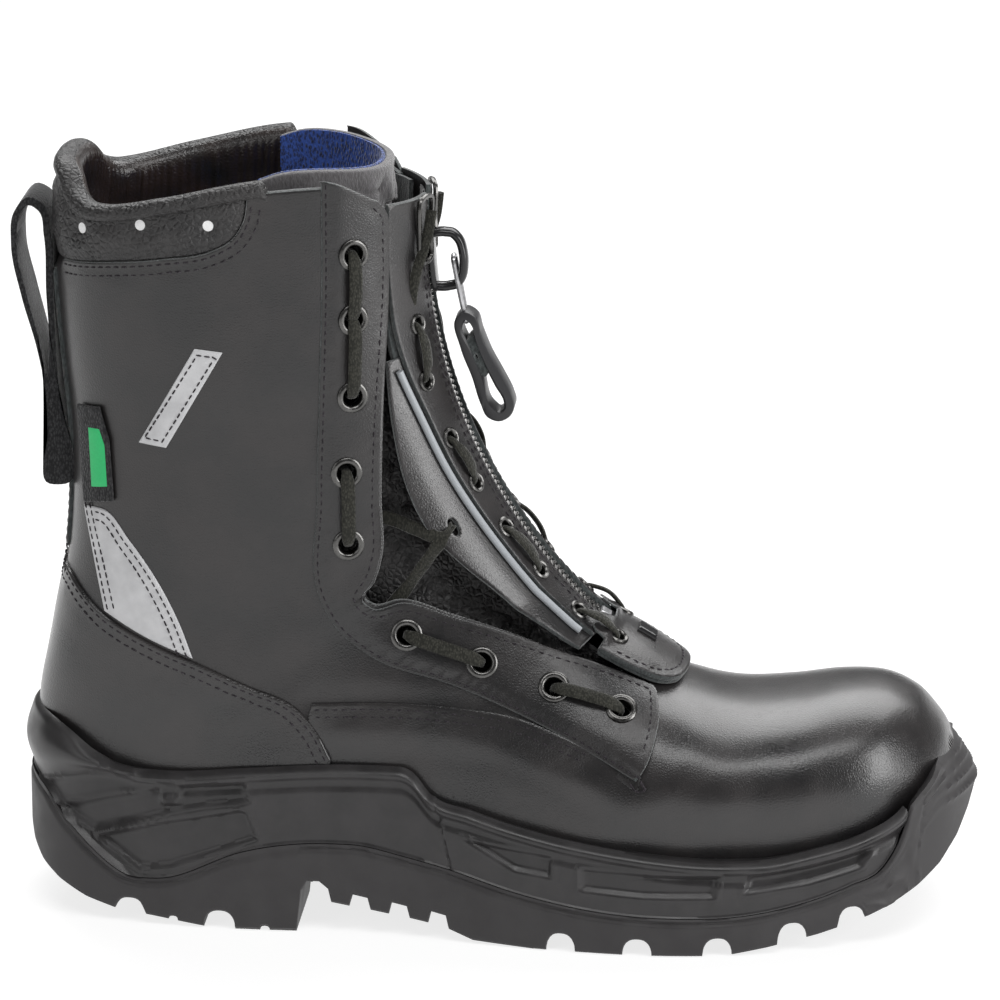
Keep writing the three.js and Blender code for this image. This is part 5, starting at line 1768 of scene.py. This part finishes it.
def add_teeth(label, side):
    """One row of the zipper's moulded teeth, spread apart above the slider."""
    parts = []
    start = -2.6 + (0.5 * TOOTH_PITCH if side > 0 else 0)
    for angle in np.arange(start, CHAIN_END, TOOTH_PITCH):
        near = 0.3 if angle > CHAIN_TOP else 1.4
        section = [(near, -0.5), (near, 0.5), (near + 0.6, 1.0), (3.0, 0.9), (3.4, 0.3),
                   (3.4, -0.4), (3.0, -0.9), (near + 0.6, -0.9)]
        y, out = np.array(section).T
        ends = []
        for way in (-1, -0.6, 0.6, 1):
            scale = 1.0 if abs(way) < 1 else 0.7
            place = angle + way * TOOTH_HALF + TOOTH_SLANT * (y - near) / 3
            spread = near + 1.4 + (y - near - 1.4) * scale
            ends.append(STRIP.raised(place, side * spread, out * scale))
        parts.append(outward(np.vstack(ends), tube_faces(len(ends), len(section))))
    piece_of(f"zip_teeth_{label}", parts, LOOKS["chain"], "gunmetal", FLAPS[label],
             replaced=[f"zip_teeth_{label}"], sharp=50)


def add_hook(label, side):
    """The metal frame at the top of the strap, where the lace is tied off."""
    corners = [(-3.3, 6.6), (-3.3, 13.6), (0, 14), (3.2, 13.2), (3.2, 7.0), (0, 6.4)]
    places = np.array([(a, side * y) for a, y in corners])
    path = STRIP.raised(places[:, 0], places[:, 1], 3.3)
    plate = strip_corners([(-3.2, 7.2), (3.0, 7.2), (3.0, 13.2), (-3.2, 13.2)], side)
    panel(f"lace_hook_plate_{label}", LOOKS["leather"], "black_leather", plate, thick=0.7, base=1.9,
          chart=STRIP, body=FLAPS[label], edge=0.4)
    piece_of(f"lace_hook_{label}", [closed_wire(path, radius=0.85)], LOOKS["gunmetal"], "gunmetal",
             FLAPS[label], replaced=[f"lace_hook_{label}"])


def add_insert_end():
    """The rounded piece that joins both halves below the zipper."""
    notch = strip_line([(48.65, 0), (48.65, 4.4), (47.4, 5.6), (46.9, 7), (46.9, 15.4), (47.4, 17),
                        (48.65, 18), (48.65, 21.4)], INNER, 0.8, polyline)
    rim = [(48.65, 21.4), (50, 22.2), (53.5, 22), (55.8, 19.6), (57.4, 14.5), (58.1, 7), (58.2, 0)]
    outline = mirrored_strip(joined(notch, strip_line(rim, INNER, 1.0)))
    back_edge = strip_line([(48.75, 0), (48.75, 21.8)], INNER, draw=polyline)
    backing = mirrored_strip(joined(back_edge, strip_line([(48.75, 21.8)] + rim[1:], INNER, 1.0)))

    def lift(angle, y):
        return 2.15 * smoothstep(49.8, 48.6, angle) * smoothstep(19.5, 17.5, np.abs(y))

    def shape(angle, *_):
        return -1.1 * smoothstep(50, 48, angle)
    row_half = strip_line([(50.4, 19.9), (53, 19.6), (55, 17.4), (56.4, 13), (57.1, 6), (57.2, 0)],
                          INNER, 1.0)
    row = mirrored_strip(row_half)
    holes = [strip_circle(END_EYELET, s, radius=2.2) for s in (1, -1)]
    panel("insert_end", LOOKS["leather"], "black_leather", STRIP.closed(outline), thick=1.6,
          base=0.3, holes=holes, spacing=1.9, grooves=[dent(row, STRIP)], chart=STRIP,
          edge_look=LOOKS["suede"], lift=lift, shape=shape, replaced=["insert_end"])
    panel("insert_end_backing", LOOKS["suede"], "soft_leather", STRIP.closed(backing), thick=1.3,
          base=-1.15, chart=STRIP)
    add_stud()
    stitch_rows("insert_end_stitches", [row], 1.75, STRIP)
    rings = [ring_at((END_EYELET[0], s * END_EYELET[1]), INSERT_RING, STRIP, count=22)
             for s in (1, -1)]
    piece_of("insert_end_eyelets", rings, LOOKS["gunmetal"], "gunmetal")
    stop = strip_corners([(47.1, 0), (47.1, 3.2), (48.4, 3.2), (48.4, -3.2), (47.1, -3.2)],
                         INNER, 0.5)
    panel("bottom_stop", LOOKS["steel"], "gunmetal", stop, thick=2.4, base=-1.0, spacing=0.8,
          rings=(0.3,), chart=STRIP, edge=0.5, replaced=["bottom_stop"])


# ------------------------------------------------------------------ slider, link and pull strap
SLIDER_MIDDLE = 4.1             # degrees
CROWN_OUT = 5.4
CROWN = polar(SLIDER_MIDDLE, ZIP_RADIUS - CROWN_OUT, 0.0)
LINK_END = np.array([-10.2, 0, 197.4])


def add_slider():
    """The slider's two plates and the crown that holds its link."""
    half = [(1.3, 0), (1.4, 3.2), (2.4, 4.4), (5, 4.6), (6.8, 3.8), (7.4, 2.4), (7.6, 0)]
    outline = STRIP.closed(mirrored_strip(strip_line(half, INNER, 0.7)))
    panel("slider_plate", LOOKS["black_metal"], "gunmetal", outline, thick=1.3, base=2.1,
          spacing=1.2, chart=STRIP, body="slider", edge=0.7, rings=(0.3, 0.7),
          replaced=["slider_body"])
    panel("slider_back", LOOKS["black_metal"], "gunmetal", outline, thick=1.1, base=-2.9,
          spacing=1.2, chart=STRIP, body="slider", edge=0.5, rings=(0.3,))
    arch = spline([(-2.9, -1.4), (-3.0, 3.0), (-2.7, 6.0), (-1.6, 8.0), (0, 8.6), (1.6, 8.0),
                   (2.7, 6.0), (3.0, 3.0), (2.9, -1.4)], 0.35)
    path = polar(SLIDER_MIDDLE + arch[:, 0], ZIP_RADIUS - arch[:, 1], 0 * arch[:, 0])
    crown = swept(path, np.array([0.0, 1.0, 0.0]), width=5.6, thick=3.0, sides=14)
    piece_of("slider_crown", [crown], LOOKS["black_metal"], "gunmetal", "slider")


def add_puller():
    """The bent wire link between the slider and the strap."""
    half_top, half_low = 2.9, 2.3
    along = (LINK_END - CROWN) / np.linalg.norm(LINK_END - CROWN)
    across = np.array([0, 1.0, 0])
    corners = [CROWN + across * half_top, CROWN + along * 3 + across * (half_top + 0.2),
               LINK_END - along * 3 + across * half_low, LINK_END + across * half_low * 0.8,
               LINK_END - across * half_low * 0.8, LINK_END - along * 3 - across * half_low,
               CROWN + along * 3 - across * (half_top + 0.2), CROWN - across * half_top]
    piece_of("puller", [closed_wire(corners, radius=0.8, step=0.6)], LOOKS["steel"], "gunmetal",
             "puller_link", replaced=["puller"])


STRAP_OUTLINE = [(-13.2, 199.0), (-10.4, 201.2), (-7.0, 199.6), (-5.0, 194), (-2.2, 187),
                 (1.8, 179.6), (5.0, 173), (5.8, 169.8), (4.4, 166.4), (0.8, 164.5), (-3.0, 165.8),
                 (-5.3, 170.4), (-8.0, 179), (-11.8, 189)]
STRAP_SLOT = [(-9.8, 198.6), (-8.6, 197.4), (-6.8, 191), (-4.2, 184), (-0.6, 176.6), (2.3, 171),
              (2.3, 169.0), (0.6, 167.7), (-1.7, 169.7), (-4.5, 179), (-8.0, 188), (-10.8, 197.2)]


def add_pull_strap():
    """The leather strap with its slot and the suede in it."""
    outline = spline(STRAP_OUTLINE, 0.5, closed=True)
    slot = spline(STRAP_SLOT, 0.4, closed=True)
    band = holed_band(outline, slot, half=5.0)
    piece_of("pull_strap", [band], LOOKS["strap"], "black_leather", "strap",
             replaced=["pull_strap"])
    filling = spline([(-10.6, 190), (-8.0, 193.2), (-5.8, 190), (-2.4, 181.5), (-3.6, 179.4),
                      (-7.0, 181.8)], 0.5, closed=True)
    small = filling.mean(0) + (filling - filling.mean(0)) * 0.1
    piece_of("pull_strap_filling", [holed_band(filling, small, half=4.6)], LOOKS["suede"],
             "black_leather", "strap")


# ------------------------------------------------------------------ eyelets and laces
EYELET_RING = [(5.2, 2.0), (5.15, 2.6), (4.6, 3.05), (3.8, 3.05), (3.2, 2.6), (3.0, 2.0),
               (2.95, -0.4), (3.2, -0.4), (3.35, 2.0)]      # (radius, height) round an eyelet
LACE_WIDE, LACE_THICK = 4.6, 1.5


def add_eyelets(label, side):
    """One side's nine metal eyelets."""
    rings = [ring_at(p, EYELET_RING) for p in eyelet_places(side)]
    piece_of(f"eyelets_{label}", rings, LOOKS["gunmetal"], "gunmetal",
             replaced=[f"eyelet_{label}_{i + 1}" for i in range(9)])


def lace_over(start, end, low, high, narrow=3.0):
    """A lace that comes up through one hole, lies over the leather and dives into the next."""
    (p0, n0), (p1, n1) = start, end
    way = (p1 - p0) / np.linalg.norm(p1 - p0)
    points = [p0 + n0 * low, p0 + n0 * (high - 1.6) + way * 0.2, p0 + way * 3.2 + n0 * high,
              (p0 + p1) / 2 + (n0 + n1) / 2 * (high + 0.9),
              p1 - way * 3.2 + n1 * high, p1 + n1 * (high - 1.6) - way * 0.2, p1 + n1 * low]
    path = spline(points, 0.8)
    side = np.cross(way, (n0 + n1) / 2)
    reach = np.minimum(np.arange(len(path)), np.arange(len(path))[::-1]) * 0.8
    width = narrow + (LACE_WIDE - narrow) * smoothstep(5, 10, reach)
    return swept(path, side, width=width, thick=LACE_THICK)


def lace_span(points, side, width=LACE_WIDE):
    """A lace through open air."""
    path = spline(points, 1.2)
    return swept(path, np.array(side, float), width=width, thick=LACE_THICK)


def hole_of(place, chart=UPPER):
    """An eyelet's centre and normal."""
    point, _, _, normal = frame_at(place, chart)
    return point, normal


def add_laces(label, side):
    """The laces on one side: over the facing, over the insert, and across the gap."""
    body = FLAPS[label]
    eyes = [hole_of(p) for p in eyelet_places(side)]
    runs = [lace_over(eyes[a], eyes[b], low=-4.5, high=3.4)
            for a, b in ((0, 1), (1, 2), (3, 4), (5, 6), (7, 8))]
    piece_of(f"lace_{label}", runs, LOOKS["lace"], "dark_cord", replaced=[f"lace_{label}"])
    marks = [hole_of((a, side * y), STRIP) for a, y in INSERT_EYELETS]
    end = hole_of((END_EYELET[0], side * END_EYELET[1]), STRIP)
    pairs = [(marks[0], marks[1]), (marks[2], marks[3]), (marks[4], marks[5])]
    last = lace_over(marks[6], end, low=-1.8, high=3.4, narrow=2.4)
    last_piece = free_piece(f"lace_end_{label}", *last, LOOKS["lace"], "dark_cord")
    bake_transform(last_piece)
    flap_runs = [lace_over(a, b, low=-2.2, high=3.0, narrow=2.4) for a, b in pairs]
    hook = STRIP.raised(*strip_spot([(-2.2, 10.2), (0.2, 12), (4, 16.8), (9.4, 17)], side),
                        np.array([5.2, 5.0, 3.6, -2.0]))
    flap_runs.append(lace_span(hook, (1, 0, 0.4), 3.6))
    piece_of(f"lace_on_insert_{label}", flap_runs, LOOKS["lace"], "dark_cord", body)
    slit = STRIP.raised(*strip_spot([WING_SLIT, (WING_SLIT[0] + 0.2, WING_SLIT[1] + 3)], side),
                        np.array([-2.4, 1.0]))
    edge = place_on([(-37.5, 138), (-33, 106.5)], side)
    behind = raised(edge[:, 0], edge[:, 1], -4.6)
    ahead = raised(*place_on([(-31.5, 137), (-27.5, 113)], side).T, np.array([-3.4, -3.4]))
    for number, (start, then) in enumerate(zip(behind, ahead)):
        points = [start, then, (then + slit[1]) / 2 + [0, side * 0.8, 0], slit[1], slit[0]]
        path, faces = lace_span(points, (0.15, 0.1, 1) if number == 0 else (1, 0, 0.5))
        mesh_piece = free_piece(f"lace_crossing_{label}_{number + 1}", path, faces, LOOKS["lace"],
                                "dark_cord")
        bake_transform(mesh_piece)


def strip_spot(points, side):
    """The two coordinates of strip places on one side."""
    angle, y = np.array(points, float).T
    return angle, side * y


# ------------------------------------------------------------------ pull loop and label
LOOP_OUTLINE = [(-146.6, 141), (-146.6, 158), (-147.0, 172), (-149.6, 187), (-154.2, 204),
                (-157.4, 222), (-156.2, 232.5), (-151.4, 237.8), (-146.4, 235.4), (-144.2, 226),
                (-143.8, 205), (-143.4, 190), (-142.6, 172), (-141.6, 141)]
LOOP_HOLE = [(-146.5, 178), (-148.6, 189), (-152.4, 205), (-155.4, 221), (-154.4, 230.5),
             (-151.2, 234.8), (-148.2, 233), (-146.6, 225), (-146.2, 207), (-145.6, 190)]


def add_pull_loop():
    """The loop of webbing up the back."""
    outline = spline(LOOP_OUTLINE, 0.8, closed=True)
    hole = spline(LOOP_HOLE, 0.8, closed=True)
    piece_of("pull_loop", [holed_band(outline, hole, half=10)], LOOKS["tape"], "black_textile",
             replaced=["pull_loop"])


LABEL = [(-133, 173), (-125.3, 174.2), (-122.3, 163.1), (-121.2, 142.9), (-131.5, 139.9)]
LABEL_PRINT = [(-128.9, 166.4), (-125.1, 166.8), (-123.4, 161.5), (-122.9, 147.6), (-128.3, 146.2)]


def add_label():
    """The tab in the side seam and its plain print."""
    edge = outer_corners(LABEL)
    panel("side_label", LOOKS["tape"], "black_textile", UPPER.closed(edge), thick=0.9, base=1.2,
          edge=0.3, replaced=["side_label"])
    print_edge = outer_corners(LABEL_PRINT)
    panel("side_label_print", LOOKS["green"], "green_label", UPPER.closed(print_edge), thick=0.25,
          base=1.95, edge=0.1, rings=(0.3,))


# ------------------------------------------------------------------ the show
def plain_nodes():
    """Looks for the CAD nodes that stay as they are."""
    looks = {
        "puncture_plate": "steel", "insole_board": "fibre", "arch_shank": "steel",
        "footbed": "footbed", "toe_cap": "steel", "heel_counter": "fibre",
    }
    for name, key in looks.items():
        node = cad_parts[name]
        node.data.materials.clear()
        node.data.materials.append(LOOKS[key])


add_camera()
add_studio()
add_sole()
add_vamp()
for label, side in SIDES.items():
    add_quarter(label, side)
    add_facing(label, side)
    bar_tack(label, side)
    add_reflectors(label, side)
    add_insert_side(label, side)
    add_teeth(label, side)
    add_hook(label, side)
    add_eyelets(label, side)
    add_laces(label, side)
add_insert_end()
add_slider()
add_puller()
add_pull_strap()
add_pull_loop()
add_label()
add_counter_cover()
add_back_strip()
add_collar_pad()
add_collar_roll()
add_lining()
add_tongue()
plain_nodes()
